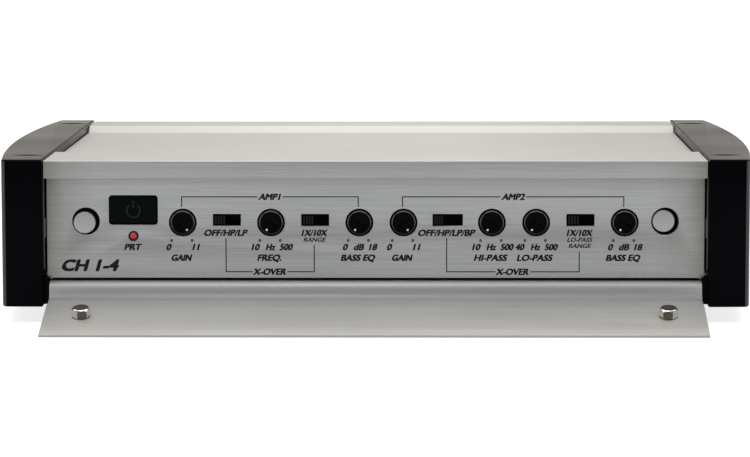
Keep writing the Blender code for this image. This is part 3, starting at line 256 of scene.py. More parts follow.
def brushed(name, colour, roughness, depth, metallic, grain=(14.0, 2300.0), fade=None, **constants):
    # fine lines along x, with a slow wander in tone
    # fade is (axis, start, end, stops): the colour by distance from the middle along an axis
    finish = Finish(name, colour, roughness, metallic, **constants)
    slow, fast = grain
    lines = finish.noise(finish.coordinates((slow, fast, fast)), 1.0, 3.0, 0.6)
    coarse = finish.noise(finish.coordinates((slow * 0.3, fast * 0.3, fast * 0.3)), 1.0, 2.0, 0.5)
    cloud = finish.noise(finish.coordinates(), 9.0, 2.0)
    tone = lines * 0.65 + coarse * 0.22 + cloud * 0.13
    base = finish.asColour(colour)
    if fade:
        letter, start, end, stops = fade
        reach = finish.fromMiddle(letter, 0.0, 1.0, start, end)
        base = finish.add("ShaderNodeValToRGB", {"stops": stops}, {"Fac": reach}, "Color")
    strength = finish.ramp(tone, 1.0 - depth, 1.0 + depth, 0.36, 0.64)
    finish.wire("Base Color", finish.scaled(base, strength))
    finish.wire("Roughness", finish.ramp(lines, roughness - 0.07, roughness + 0.08, 0.3, 0.7))
    finish.bump(lines, 0.3, 0.02 * mm)
    return finish


def satin(name, colour, roughness, metallic, speckle=1400.0, depth=0.03, relief=0.12, paintedEndShade=None, **constants):
    # bead-blasted or moulded surface with a fine even grain
    # the end-shade argument is (reach, tone): painted shade, how dark the colour has become that far from the
    # middle along x
    finish = Finish(name, colour, roughness, metallic, **constants)
    grain = finish.noise(finish.coordinates(), speckle, 2.0)
    cloud = finish.noise(finish.coordinates(), 14.0, 2.0)
    tone = grain * 0.6 + cloud * 0.4
    dark = [c * (1.0 - depth) for c in colour]
    light = [min(1.0, c * (1.0 + depth)) for c in colour]
    mixed = finish.blendColour(finish.ramp(tone, 0.0, 1.0, 0.35, 0.65), dark, light)
    if paintedEndShade:
        reach, tone = paintedEndShade
        mixed = finish.scaled(mixed, finish.fromMiddle("X", 1.0, tone, 0.25 * reach, reach))
    finish.wire("Base Color", mixed)
    finish.wire("Roughness", finish.ramp(cloud, roughness - 0.04, roughness + 0.05, 0.3, 0.7))
    finish.bump(grain, relief, 0.02 * mm)
    return finish


def makeFinishes():
    looks = finishLooks
    finishes = {
        # painted shade: the lid is painted darker towards its ends
        "lid": satin("silverExtrusion", looks["lidColour"], 0.44, 0.25, 1500.0, 0.02, 0.06, (130 * mm, 0.86)),
        "panel": brushed("brushedPanel", looks["panelColour"], 0.38, 0.15, 0.8, (34.0, 2700.0),
                         ("X", 100 * mm, 128 * mm, looks["panelFade"])),
        "sheet": brushed("greySheet", looks["sheetColour"], 0.47, 0.08, 0.5, (16.0, 1700.0),
                         ("Y", 100 * mm, 141 * mm, looks["sheetFade"])),
        "sheetEdge": satin("cutSheetEdge", (0.25, 0.25, 0.244), 0.5, 0.5),
        "cap": satin("glossBlackMoulding", looks["capColour"], 0.16, 0.0, 900.0, 0.1, 0.03, IOR=1.07),
        "capEdge": satin("glossBlackCorner", (0.004, 0.005, 0.008), 0.14, 0.0, 900.0, 0.1, 0.03, IOR=1.4),
        "capInner": satin("greyCapLiner", (0.035, 0.038, 0.035), 0.42, 0.0),
        "control": satin("blackControl", (0.0012, 0.0012, 0.0012), 0.2, 0.0, 1600.0, 0.1, 0.05, IOR=1.08),
        "rim": satin("controlRim", (0.004, 0.004, 0.004), 0.16, 0.0, 1600.0, 0.1, 0.02, IOR=1.5),
        "slider": satin("sliderNub", (0.0075, 0.0075, 0.008), 0.4, 0.0, 1600.0, 0.1, 0.1, IOR=1.17),
        "dark": satin("darkInterior", (0.001, 0.001, 0.001), 0.7, 0.0, 900.0, 0.1, 0.05, IOR=1.1),
        "window": satin("smokedWindow", (0.001, 0.0018, 0.0018), 0.1, 0.0, 700.0, 0.1, 0.01, IOR=1.08),
        "ghost": satin("windowSymbol", (0.008, 0.009, 0.009), 0.3, 0.0, IOR=1.2),
        "zinc": satin("zincSteel", (0.44, 0.425, 0.39), 0.11, 1.0, 900.0, 0.06, 0.04),
        "zincBright": satin("zincFlat", (0.78, 0.75, 0.69), 0.11, 1.0, 900.0, 0.06, 0.04),
        "zincShade": satin("zincCrown", (0.09, 0.086, 0.075), 0.24, 1.0, 900.0, 0.1, 0.06),
        "zincDull": satin("zincDullFlat", (0.17, 0.155, 0.13), 0.16, 1.0, 900.0, 0.1, 0.06),
        "post": satin("satinPost", (0.255, 0.255, 0.252), 0.38, 0.8, 1500.0, 0.03, 0.08),
        "ink": satin("blackInk", looks["inkColour"], 0.45, 0.0, IOR=1.2),
        "whiteInk": satin("whiteMark", (0.42, 0.42, 0.41), 0.4, 0.0),
        "terminal": satin("terminalPlastic", (0.018, 0.018, 0.02), 0.4, 0.0, 1100.0, 0.12, 0.15),
        "gold": satin("goldPlate", (0.83, 0.60, 0.25), 0.2, 1.0, 900.0, 0.05, 0.04),
        "blackOxide": satin("blackOxideScrew", (0.03, 0.03, 0.032), 0.32, 0.7, 900.0, 0.1, 0.05),
        "ringRed": satin("redInsulator", (0.50, 0.02, 0.02), 0.35, 0.0),
        "ringWhite": satin("whiteInsulator", (0.80, 0.80, 0.78), 0.35, 0.0),
        "package": satin("mouldedPackage", (0.02, 0.02, 0.02), 0.5, 0.0, 1000.0, 0.12, 0.15),
    }
    finishes["led"] = makeLensFinish("redLens", (0.30, 0.003, 0.005), 0.06)
    finishes["ledRim"] = makeLensFinish("redLensRim", (0.07, 0.001, 0.002), 0.06)
    finishes["fuse"] = makeLensFinish("tintedFuse", (0.05, 0.27, 0.075), 0.14)
    finishes["board"] = makeBoardFinish()
    finishes["copper"] = makeWindingFinish()
    finishes["sleeve"] = makeSleeveFinish()
    print("finishes:", len(finishes))
    return finishes


def makeLensFinish(name, colour, roughness):
    # tinted clear plastic with a slight cloud in it
    finish = Finish(name, colour, roughness, 0.0, IOR=1.5)
    cloud = finish.noise(finish.coordinates(), 420.0, 2.0)
    grain = finish.noise(finish.coordinates(), 1500.0, 2.0)
    shade = cloud * 0.7 + grain * 0.3
    deep = [c * 0.75 for c in colour]
    bright = [min(1.0, c * 1.2) for c in colour]
    finish.wire("Base Color", finish.blendColour(finish.ramp(shade, 0.0, 1.0, 0.35, 0.65), deep, bright))
    finish.wire("Roughness", finish.ramp(cloud, roughness * 0.8, roughness * 1.3, 0.3, 0.7))
    return finish


def makeBoardFinish():
    finish = Finish("greenBoard", (0.03, 0.14, 0.06), 0.5)
    cells = finish.add(
        "ShaderNodeTexVoronoi", {"feature": "DISTANCE_TO_EDGE"}, {"Vector": finish.coordinates(), "Scale": 260.0}
    )
    tracks = finish.ramp(cells, 1.0, 0.0, 0.03, 0.06)
    finish.wire("Base Color", finish.blendColour(tracks, (0.025, 0.12, 0.05), (0.05, 0.22, 0.09)))
    finish.bump(tracks, 0.3, 0.04 * mm)
    return finish


def makeWindingFinish():
    # turns of enamelled wire side by side
    finish = Finish("enamelledCopper", (0.48, 0.19, 0.07), 0.3, 0.8)
    turns = finish.add("ShaderNodeTexWave", {"bands_direction": "DIAGONAL"}, {
        "Vector": finish.coordinates(), "Scale": 180.0, "Distortion": 0.6, "Detail": 1.0})
    finish.wire("Base Color", finish.blendColour(turns, (0.28, 0.09, 0.03), (0.62, 0.26, 0.10)))
    finish.bump(turns, 0.6, 0.2 * mm)
    return finish


def makeSleeveFinish():
    # shrink sleeve with a pale stripe down one side
    finish = Finish("capacitorSleeve", (0.02, 0.03, 0.08), 0.35)
    across = finish.axis(finish.coordinates(), "X")
    stripe = across * 45.0
    band = finish.ramp(stripe.maths("FRACT", stripe), 0.0, 1.0, 0.90, 0.92)
    finish.wire("Base Color", finish.blendColour(band, (0.02, 0.03, 0.08), (0.45, 0.45, 0.46)))
    grain = finish.noise(finish.coordinates(), 500.0, 2.0)
    finish.bump(grain, 0.1, 0.02 * mm)
    return finish


def evaluatedMesh(holder):
    # the holder's mesh with its modifiers applied; the holder goes
    depsgraph = bpy.context.evaluated_depsgraph_get()
    mesh = bpy.data.meshes.new_from_object(holder.evaluated_get(depsgraph))
    bpy.data.objects.remove(holder, do_unlink=True)
    return mesh


def linked(name, data):
    holder = bpy.data.objects.new(name, data)
    bpy.context.scene.collection.objects.link(holder)
    return holder


def asShape(mesh):
    # the mesh as a bmesh; the mesh goes
    shape = bmesh.new()
    shape.from_mesh(mesh)
    bpy.data.meshes.remove(mesh)
    return shape


def asMesh(shape, name):
    # the bmesh as a mesh; the bmesh goes
    mesh = bpy.data.meshes.new(name)
    shape.to_mesh(mesh)
    shape.free()
    return mesh


def plate(loops, thickness, rim=0.0, rimSteps=2):
    # flat outline with holes, centred on z = 0, every rim rounded
    curve = bpy.data.curves.new("plate", "CURVE")
    curve.dimensions = "2D"
    curve.fill_mode = "BOTH"
    curve.extrude = thickness / 2 - rim
    curve.bevel_depth = rim
    curve.bevel_resolution = rimSteps
    curve.offset = -rim
    for loop in loops:
        spline = curve.splines.new("POLY")
        spline.points.add(len(loop) - 1)
        for point, (x, y) in zip(spline.points, loop):
            point.co = (x, y, 0.0, 1.0)
        spline.use_cyclic_u = True
    shape = asShape(evaluatedMesh(linked("plate", curve)))
    bmesh.ops.remove_doubles(shape, verts=shape.verts, dist=0.002 * mm)
    bmesh.ops.recalc_face_normals(shape, faces=shape.faces)
    return shape


def turned(profile, sides):
    # profile of (radius, height) points from the top down the outer side, about z
    shape = bmesh.new()
    rings = []
    for radius, z in profile:
        if radius < 1e-7:
            rings.append([shape.verts.new((0.0, 0.0, z))])
            continue
        angles = [2 * math.pi * side / sides for side in range(sides)]
        rings.append([shape.verts.new((radius * math.cos(a), radius * math.sin(a), z)) for a in angles])
    for above, below in zip(rings, rings[1:]):
        for side in range(sides):
            after = (side + 1) % sides
            corners = [above[side % len(above)], below[side % len(below)]]
            if len(below) > 1:
                corners.append(below[after])
            if len(above) > 1:
                corners.append(above[after])
            if len(corners) > 2:
                shape.faces.new(corners)
    bmesh.ops.recalc_face_normals(shape, faces=shape.faces)
    return shape


def block(size, centre=(0.0, 0.0, 0.0), rim=0.0, steps=2):
    shape = bmesh.new()
    bmesh.ops.create_cube(shape, size=1.0, matrix=Matrix.Translation(centre) @ Matrix.Diagonal((*size, 1.0)))
    if rim:
        bmesh.ops.bevel(shape, geom=shape.edges[:], offset=rim, segments=steps, affect="EDGES", profile=0.5)
    return shape


def circle(x, y, radius, sides=48):
    angles = [2 * math.pi * side / sides for side in range(sides)]
    return [(x + radius * math.cos(a), y + radius * math.sin(a)) for a in angles]


def rectangle(x, y, width, height, corner=0.0, steps=6):
    if not corner:
        return [(x + sx * width / 2, y + sy * height / 2) for sx, sy in ((-1, -1), (1, -1), (1, 1), (-1, 1))]
    points = []
    for index, (sx, sy) in enumerate(((1, 1), (-1, 1), (-1, -1), (1, -1))):
        cx, cy = x + sx * (width / 2 - corner), y + sy * (height / 2 - corner)
        for step in range(steps + 1):
            angle = quarter * (index + step / steps)
            points.append((cx + corner * math.cos(angle), cy + corner * math.sin(angle)))
    return points


def fillet(before, corner, after, radius, steps=8):
    # arc that rounds a corner of an outline
    toBefore = (Vector(before) - Vector(corner)).normalized()
    toAfter = (Vector(after) - Vector(corner)).normalized()
    half = toBefore.angle(toAfter) / 2
    middle = Vector(corner) + (toBefore + toAfter).normalized() * radius / math.sin(half)
    first = Vector(corner) + toBefore * radius / math.tan(half) - middle
    last = Vector(corner) + toAfter * radius / math.tan(half) - middle
    start = math.atan2(first.y, first.x)
    sweep = (math.atan2(last.y, last.x) - start + math.pi) % (2 * math.pi) - math.pi
    angles = [start + sweep * step / steps for step in range(steps + 1)]
    return [(middle.x + radius * math.cos(a), middle.y + radius * math.sin(a)) for a in angles]


class Form:
    # gathers shapes of one piece, each with its finish, then makes the piece
    def __init__(self, name, body="root", slot="control", replaced=()):
        self.name = name
        self.body = body
        self.slot = slot
        self.replaced = replaced
        self.mesh = bmesh.new()
        self.finishes = []

    def take(self, shape, finish, matrix=None, *accents):
        # shape may be a bmesh or a mesh; it is used up
        # accents are (finish, where) pairs: a face takes the first finish for which where(centre, normal) holds
        if isinstance(shape, bpy.types.Mesh):
            shape = asShape(shape)
        for wanted in [finish] + [accent for accent, _ in accents]:
            if wanted not in self.finishes:
                self.finishes.append(wanted)
        shape.normal_update()
        for face in shape.faces:
            centre = face.calc_center_median()
            matching = [accent for accent, where in accents if where(centre, face.normal)]
            face.material_index = self.finishes.index((matching + [finish])[0])
        if matrix is not None:
            shape.transform(matrix)
        carrier = asMesh(shape, "carrier")
        self.mesh.from_mesh(carrier)
        bpy.data.meshes.remove(carrier)

    def piece(self, sharp=35.0):
        mesh = asMesh(self.mesh, self.name)
        for finish in self.finishes:
            mesh.materials.append(finish.material)
        mesh.shade_smooth()
        mesh.set_sharp_from_angle(angle=math.radians(sharp))
        piece = linked(self.name, mesh)
        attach(piece, self.body)
        if self.replaced:
            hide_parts(*self.replaced)
        return piece


def carved(shape, cutters, rim=0.0, steps=2):
    # shape minus each cutter, with the new rims rounded
    holder = linked("carved", asMesh(shape, "carved"))
    knives = [linked("cutter", asMesh(cutter, "cutter")) for cutter in cutters]
    for knife in knives:
        cut = holder.modifiers.new("cut", "BOOLEAN")
        cut.operation = "DIFFERENCE"
        cut.solver = "EXACT"
        cut.object = knife
    if rim:
        edge = holder.modifiers.new("rim", "BEVEL")
        edge.width = rim
        edge.segments = steps
        edge.limit_method = "ANGLE"
        edge.angle_limit = math.radians(50)
    result = evaluatedMesh(holder)
    for knife in knives:
        bpy.data.objects.remove(knife, do_unlink=True)
    return asShape(result)


def makeScatterTree():
    # copies of a part on the points of a mesh, each turned by the point's own "turn", with a seeded twist
    tree = bpy.data.node_groups.new("scatterPart", "GeometryNodeTree")
    face = tree.interface
    inputs = (("Geometry", "Geometry"), ("Part", "Object"), ("Size", "Float"), ("Twist", "Float"),
              ("Seed", "Int"), ("Finish", "Material"))
    for name, kind in inputs:
        face.new_socket(name, in_out="INPUT", socket_type="NodeSocket" + kind)
    face.new_socket("Geometry", in_out="OUTPUT", socket_type="NodeSocketGeometry")

    def node(kind, **settings):
        made = tree.nodes.new(kind)
        for key, value in settings.items():
            setattr(made, key, value)
        return made

    source, target = node("NodeGroupInput"), node("NodeGroupOutput")
    part = node("GeometryNodeObjectInfo", transform_space="ORIGINAL")
    turn = node("GeometryNodeInputNamedAttribute", data_type="FLOAT_VECTOR")
    turn.inputs["Name"].default_value = "turn"
    onPoints = node("GeometryNodeInstanceOnPoints")
    twist = node("FunctionNodeRandomValue", data_type="FLOAT")
    axis = node("ShaderNodeCombineXYZ")
    rotate = node("GeometryNodeRotateInstances")
    scale = node("GeometryNodeScaleInstances")
    realize = node("GeometryNodeRealizeInstances")
    finish = node("GeometryNodeSetMaterial")
    link = tree.links.new
    link(source.outputs["Part"], part.inputs["Object"])
    link(source.outputs["Geometry"], onPoints.inputs["Points"])
    link(part.outputs["Geometry"], onPoints.inputs["Instance"])
    link(turn.outputs["Attribute"], onPoints.inputs["Rotation"])
    # a random angle between zero and Twist, about each copy's own axis
    floats = [socket for socket in twist.inputs if socket.type == "VALUE" and socket.enabled]
    link(source.outputs["Twist"], floats[1])
    link(source.outputs["Seed"], twist.inputs["Seed"])
    value = [socket for socket in twist.outputs if socket.enabled][0]
    link(value, axis.inputs["Z"])
    link(onPoints.outputs["Instances"], rotate.inputs["Instances"])
    link(axis.outputs[0], rotate.inputs["Rotation"])
    link(rotate.outputs["Instances"], scale.inputs["Instances"])
    link(source.outputs["Size"], scale.inputs["Scale"])
    link(scale.outputs["Instances"], realize.inputs["Geometry"])
    link(realize.outputs["Geometry"], finish.inputs["Geometry"])
    link(source.outputs["Finish"], finish.inputs["Material"])
    link(finish.outputs["Geometry"], target.inputs["Geometry"])
    return tree


def scatter(part, places, finish, twist=0.0, seed=1, size=1.0):
    # part is a bmesh about the origin, places are (location, euler turn) pairs
    model = linked("part", asMesh(part, "part"))
    points = bpy.data.meshes.new("points")
    points.from_pydata([tuple(location) for location, _ in places], [], [])
    turns = points.attributes.new("turn", "FLOAT_VECTOR", "POINT")
    for item, (_, turn) in zip(turns.data, places):
        item.vector = turn
    holder = linked("points", points)
    modifier = holder.modifiers.new("scatter", "NODES")
    modifier.node_group = scatterTree
    values = {"Part": model, "Size": size, "Twist": twist, "Seed": seed, "Finish": finish.material}
    for item in scatterTree.interface.items_tree:
        if item.in_out == "INPUT" and item.name in values:
            modifier[item.identifier] = values[item.name]
    result = evaluatedMesh(holder)
    bpy.data.objects.remove(model, do_unlink=True)
    return result


def middle(node):
    low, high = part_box(node)
    return (low + high) / 2


def size(node):
    low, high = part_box(node)
    return high - low


dials = ("gain_1", "crossover_frequency", "bass_boost_1", "gain_2", "high_pass_frequency",
         "low_pass_frequency", "bass_boost_2")
switches = ("crossover_mode_1", "frequency_range_1", "crossover_mode_2", "frequency_range_2")
joints = {joint["name"]: joint for joint in frame["joints"]}
travel = {name: joints[name + "_slide"]["range_m"][1] for name in switches}
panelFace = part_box("control_panel")[0].y
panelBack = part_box("control_panel")[1].y
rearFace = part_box("connector_panel")[1].y
# x to the viewer's right, y up, z out of the panel
front = Matrix.Translation((0.0, panelFace, 0.0)) @ Matrix.Rotation(quarter, 4, "X")
rear = (Matrix.Translation((0.0, rearFace, 0.0)) @ Matrix.Rotation(math.pi, 4, "Z")
        @ Matrix.Rotation(quarter, 4, "X"))
# x to the rear, y up, z to the right, for sections that run across the amplifier
across = Matrix(((0, 0, 1, 0), (1, 0, 0, 0), (0, 1, 0, 0), (0, 0, 0, 1)))


def at(x, y, z=0.0):
    return Matrix.Translation((x, y, z))


lidShape = {
    "wall": 3.0 * mm,
    "topEdge": 0.5 * mm,        # rounding of the long front and rear edges
    "fasciaHeight": 6.9 * mm,
    "fasciaThickness": 2.0 * mm,
    "frontRidge": 41.0 * mm,
    "rearRidge": 26.0 * mm,
    "recess": 2.7 * mm,
    "slope": 6.0 * mm,
    "softLine": 1.2 * mm,       # rounding where the slopes meet the flats
    "endRim": 0.25 * mm,
}


def makeLid():
    values = lidShape
    low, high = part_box("heatsink_lid")
    half, top = high.y, high.z
    field = top - values["recess"]
    foot = top - values["fasciaHeight"]
    frontCrest = -half + values["frontRidge"]
    rearCrest = half - values["rearRidge"]
    corners = [
        ((-half, foot), 0.3 * mm), ((-half, top), values["topEdge"]),
        ((frontCrest, top), values["softLine"]), ((frontCrest + values["slope"], field), values["softLine"]),
        ((rearCrest - values["slope"], field), values["softLine"]), ((rearCrest, top), values["softLine"]),
        ((half, top), values["topEdge"]), ((half, foot), 0.3 * mm),
        ((half - values["fasciaThickness"], foot), 0.3 * mm),
    ]
    lip = half - values["fasciaThickness"]
    groove = top - values["wall"]
    ceiling = field - values["wall"]
    retainer = -panelBack - 0.3 * mm
    inside = [(lip, groove), (retainer, groove), (retainer, groove - 4.0 * mm),
              (retainer - 2.5 * mm, groove - 4.0 * mm), (retainer - 2.5 * mm, ceiling)]
    corners += [(point, 0.0) for point in inside + [(-y, z) for y, z in reversed(inside)]]
    corners.append(((-half + values["fasciaThickness"], foot), 0.3 * mm))
    outline = []
    for index, (corner, radius) in enumerate(corners):
        if radius:
            before, after = corners[index - 1][0], corners[(index + 1) % len(corners)][0]
            outline += fillet(before, corner, after, radius)
        else:
            outline.append(corner)
    form = Form("lid_shell", slot="lid", replaced=("heatsink_lid",))
    # the section lies in x and y here, so its long front and rear faces look along x
    shell = plate([outline], high.x - low.x, values["endRim"])
    form.take(shell, finishes["lid"], across, (
        finishes["panel"], lambda centre, normal: abs(normal.x) > 0.8 and abs(centre.x) > half - mm))
    form.piece(30.0)
    print("lid: shell")


capShape = {
    "bow": 6.1 * mm,            # how far the side swells at its middle
    "corner": 2.0 * mm,
    "rim": 0.9 * mm,
    "scoopLength": 13.0 * mm,
    "scoopWidth": 4.6 * mm,
    "scoopDepth": 2.2 * mm,
    "scoopInset": 21.0 * mm,
    "linerThickness": 0.5 * mm,
    "ribInset": 1.2 * mm,
    "ribLength": 9.0 * mm,
}


def lens(length, width, steps=14):
    half, sag = length / 2, width / 2
    radius = (half ** 2 + sag ** 2) / (2 * sag)
    spread = math.asin(half / radius)
    angles = [-spread + 2 * spread * step / steps for step in range(steps)]
    arc = [(radius * math.sin(a), radius * math.cos(a) - radius + sag) for a in angles]
    return arc + [(-x, -y) for x, y in arc]


def makeEndCap(side, name):
    values = capShape
    low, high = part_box(name)
    inner = min(abs(low.x), abs(high.x))
    widest = max(abs(low.x), abs(high.x))
    cornerX = widest - values["bow"]
    half = high.y
    radius = (half ** 2 + values["bow"] ** 2) / (2 * values["bow"])
    steps = 48
    bow = []
    for step in range(steps + 1):
        y = half * (2 * step / steps - 1)
        bow.append((cornerX + math.sqrt(radius ** 2 - y ** 2) - (radius - values["bow"]), y))
    soft = 0.5 * mm
    frontInner, rearInner = (inner, -half), (inner, half)
    outline = fillet(rearInner, frontInner, bow[0], soft)
    outline += fillet(frontInner, bow[0], bow[1], values["corner"])
    outline += bow[2:-2]
    outline += fillet(bow[-2], bow[-1], rearInner, values["corner"])
    outline += fillet(bow[-1], rearInner, frontInner, soft)
    outline = [(side * x, y) for x, y in outline]
    height = high.z - low.z
    body = plate([outline], height, values["rim"], 4)
    scoopX = side * (inner + (cornerX - inner) / 2)
    cutters = []
    for end in (-1, 1):
        cutter = plate([lens(values["scoopLength"], values["scoopWidth"])], 2 * values["scoopDepth"])
        cutter.transform(at(scoopX, end * (half - values["scoopInset"]), height / 2))
        cutters.append(cutter)
    form = Form(name + "_shell", slot="cap", replaced=(name,))
    # painted highlight: the two upright outer corners take a lighter, bluish black and a stronger gloss, for the
    # highlight down them
    form.take(carved(body, cutters), finishes["cap"], at(0.0, 0.0, (high.z + low.z) / 2), (
        finishes["capEdge"],
        lambda centre, normal: side * normal.x > 0.25 and abs(normal.y) > 0.25 and abs(normal.z) < 0.6))
    # moulded strip on the cap's inner side, seen in the gap beside the panel, with a clip on it
    strip = values["linerThickness"]
    panelTop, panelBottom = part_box("control_panel")[1].z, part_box("control_panel")[0].z
    for end in (-1, 1):
        y = end * (half - 4.0 * mm)
        tall = panelTop - panelBottom - 6.0 * mm
        centre = (side * (inner - strip / 2 + 0.05 * mm), y, (panelTop + panelBottom) / 2)
        form.take(block((strip, 3.0 * mm, tall), centre, 0.2 * mm), finishes["capInner"])
        clip = (side * (inner - strip), y, (panelTop + panelBottom) / 2 - 2.0 * mm)
        form.take(block((strip * 1.6, 2.4 * mm, 8.0 * mm), clip, 0.35 * mm, 3), finishes["capInner"])
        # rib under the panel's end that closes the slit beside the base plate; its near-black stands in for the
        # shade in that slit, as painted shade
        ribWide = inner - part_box("base_plate")[1].x - 0.1 * mm
        ribTall = panelBottom - low.z - mm
        ribY = end * (half - values["ribInset"] - values["ribLength"] / 2)
        rib = (side * (inner - ribWide / 2 + 0.05 * mm), ribY, panelBottom - ribTall / 2)
        form.take(block((ribWide, values["ribLength"], ribTall), rib, 0.2 * mm), finishes["dark"])
    form.piece(30.0)


baseShape = {
    "sheet": 1.0 * mm,
    "wallSetback": 0.5 * mm,    # behind the cap faces
    "topBend": 2.6 * mm,
    "footBend": 4.3 * mm,
    "lower": 0.35 * mm,         # how far the deck sits under its frame node's top
    "kneeBend": 4.0 * mm,
    "innerRun": 11.5 * mm,
    "outerRun": 27.0 * mm,
    "innerSlope": math.radians(7.0),
    "outerSlope": math.radians(15.2),
    "screwReach": 21.0 * mm,    # screw axis in front of the wall
    "screwHole": 5.0 * mm,
}


def basePath():
    values = baseShape
    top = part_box("base_plate")[1].z - values["lower"]
    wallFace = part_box("end_cap_left")[1].y - values["wallSetback"]
    half = values["sheet"] / 2
    edge = half * math.cos(values["outerSlope"])
    knee = edge + values["outerRun"] * math.tan(values["outerSlope"])
    foot = knee + values["innerRun"] * math.tan(values["innerSlope"])
    return [
        (-wallFace - values["innerRun"] - values["outerRun"], edge), (-wallFace - values["innerRun"], knee),
        (-wallFace + half, foot), (-wallFace + half, top - half),
    ]


def folded(path, radii, thickness):
    # outline of a sheet that follows a path with rounded bends
    line = [path[0]]
    for index in range(1, len(path) - 1):
        line += fillet(path[index - 1], path[index], path[index + 1], radii[index - 1], 10)
    line.append(path[-1])
    upper, lower = [], []
    for index, point in enumerate(line):
        before, after = line[max(index - 1, 0)], line[min(index + 1, len(line) - 1)]
        heading = math.atan2(after[1] - before[1], after[0] - before[0])
        reach = thickness / 2
        if 0 < index < len(line) - 1:
            first = math.atan2(point[1] - before[1], point[0] - before[0])
            last = math.atan2(after[1] - point[1], after[0] - point[0])
            bend = (last - first + math.pi) % (2 * math.pi) - math.pi
            heading, reach = first + bend / 2, reach / math.cos(bend / 2)
        upper.append((point[0] - reach * math.sin(heading), point[1] + reach * math.cos(heading)))
        lower.append((point[0] + reach * math.sin(heading), point[1] - reach * math.cos(heading)))
    return upper + lower[::-1]


def screwPlaces():
    # middle of the sheet under each flange screw, and the tilt of the screw there
    values = baseShape
    (edgeY, edgeZ), (kneeY, kneeZ) = basePath()[:2]
    y = basePath()[2][0] - values["sheet"] / 2 - values["screwReach"]
    z = edgeZ + (y - edgeY) / (kneeY - edgeY) * (kneeZ - edgeZ)
    x = middle("mounting_screw_front_right").x
    return [(side * x, end * y, z, end * values["outerSlope"]) for end in (1, -1) for side in (-1, 1)]


def makeBasePlate():
    values = baseShape
    low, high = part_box("base_plate")
    left = basePath()
    path = left + [(-y, z) for y, z in reversed(left)]
    radii = [values["kneeBend"], values["footBend"], values["topBend"]]
    sheet = plate([folded(path, radii + radii[::-1], values["sheet"])], high.x - low.x, 0.15 * mm, 1)
    sheet.transform(across)
    drills = []
    reach = 3.0 * mm
    for x, y, z, tilt in screwPlaces():
        bore = values["screwHole"] / 2
        drill = turned([(0, reach), (bore, reach), (bore, -reach), (0, -reach)], 40)
        drill.transform(at(x, y, z) @ Matrix.Rotation(tilt, 4, "X"))
        drills.append(drill)
    form = Form("base_sheet", slot="sheet", replaced=("base_plate",))
    # painted shade: the sheet's cut edges at front and rear take a darker grey
    form.take(carved(sheet, drills), finishes["sheet"], None, (
        finishes["sheetEdge"], lambda centre, normal: abs(centre.y) > high.y - mm and abs(normal.y) > 0.5))
    form.piece(25.0)
    print("base: folded sheet")


hexScrew = {
    "acrossFlats": 6.35 * mm,
    "headHeight": 3.5 * mm,
    "chamfer": 0.8 * mm,
    "washerRadius": 3.55 * mm,
    "washerHeight": 0.2 * mm,
    "shankRadius": 2.1 * mm,
    "threadPitch": 1.4 * mm,
    "below": 3.2 * mm,
    "turns": (-17.0, 22.0, 8.0, -25.0),
}


def hexHead():
    # hexagon whose top corners are cut by a cone, as a cold-headed screw has
    values = hexScrew
    flat = values["acrossFlats"] / 2
    corner = flat / math.cos(math.pi / 6)
    top = values["washerHeight"] + values["headHeight"]
    lip = flat * 0.96
    around = 72
    shape = bmesh.new()

    def ring(reach, level):
        # reach and level give radius and height at an angle
        angles = [2 * math.pi * side / around for side in range(around)]
        return [shape.verts.new((reach(a) * math.cos(a), reach(a) * math.sin(a), level(a))) for a in angles]

    def hexagon(angle):
        return flat / math.cos((angle + math.pi / 6) % (math.pi / 3) - math.pi / 6)

    def cone(angle):
        return top - (hexagon(angle) - lip) / (corner - lip) * values["chamfer"]

    rings = [
        ring(lambda a: lip * 0.97, lambda a: top), ring(lambda a: lip, lambda a: top - 0.06 * mm),
        ring(hexagon, cone), ring(hexagon, lambda a: values["washerHeight"]),
    ]
    centre = shape.verts.new((0.0, 0.0, top))
    foot = shape.verts.new((0.0, 0.0, values["washerHeight"]))
    for side in range(around):
        after = (side + 1) % around
        shape.faces.new((centre, rings[0][side], rings[0][after]))
        for upper, lower in zip(rings, rings[1:]):
            shape.faces.new((upper[side], lower[side], lower[after], upper[after]))
        shape.faces.new((foot, rings[-1][after], rings[-1][side]))
    bmesh.ops.recalc_face_normals(shape, faces=shape.faces)
    return shape


def screwShank():
    # washer, then a shank with thread ridges down to a blunt point
    values = hexScrew
    washer, core = values["washerRadius"], values["shankRadius"]
    profile = [
        (0, values["washerHeight"] + 0.1 * mm), (washer * 0.8, values["washerHeight"] + 0.1 * mm),
        (washer - 0.25 * mm, values["washerHeight"] - 0.1 * mm), (washer, values["washerHeight"] - 0.12 * mm),
        (washer, 0.05 * mm), (washer - 0.1 * mm, 0.0), (core, 0.0), (core, -1.3 * mm),
    ]
    z = -1.3 * mm
    foot = -values["below"] - 1.3 * mm
    while z > foot + values["threadPitch"]:
        profile.append((core * 0.78, z - values["threadPitch"] * 0.25))
        profile.append((core, z - values["threadPitch"] * 0.5))
        profile.append((core * 0.78, z - values["threadPitch"] * 0.75))
        z -= values["threadPitch"]
    profile += [(core * 0.7, foot + 0.5 * mm), (core * 0.35, foot), (0, foot)]
    return turned(profile, 40)


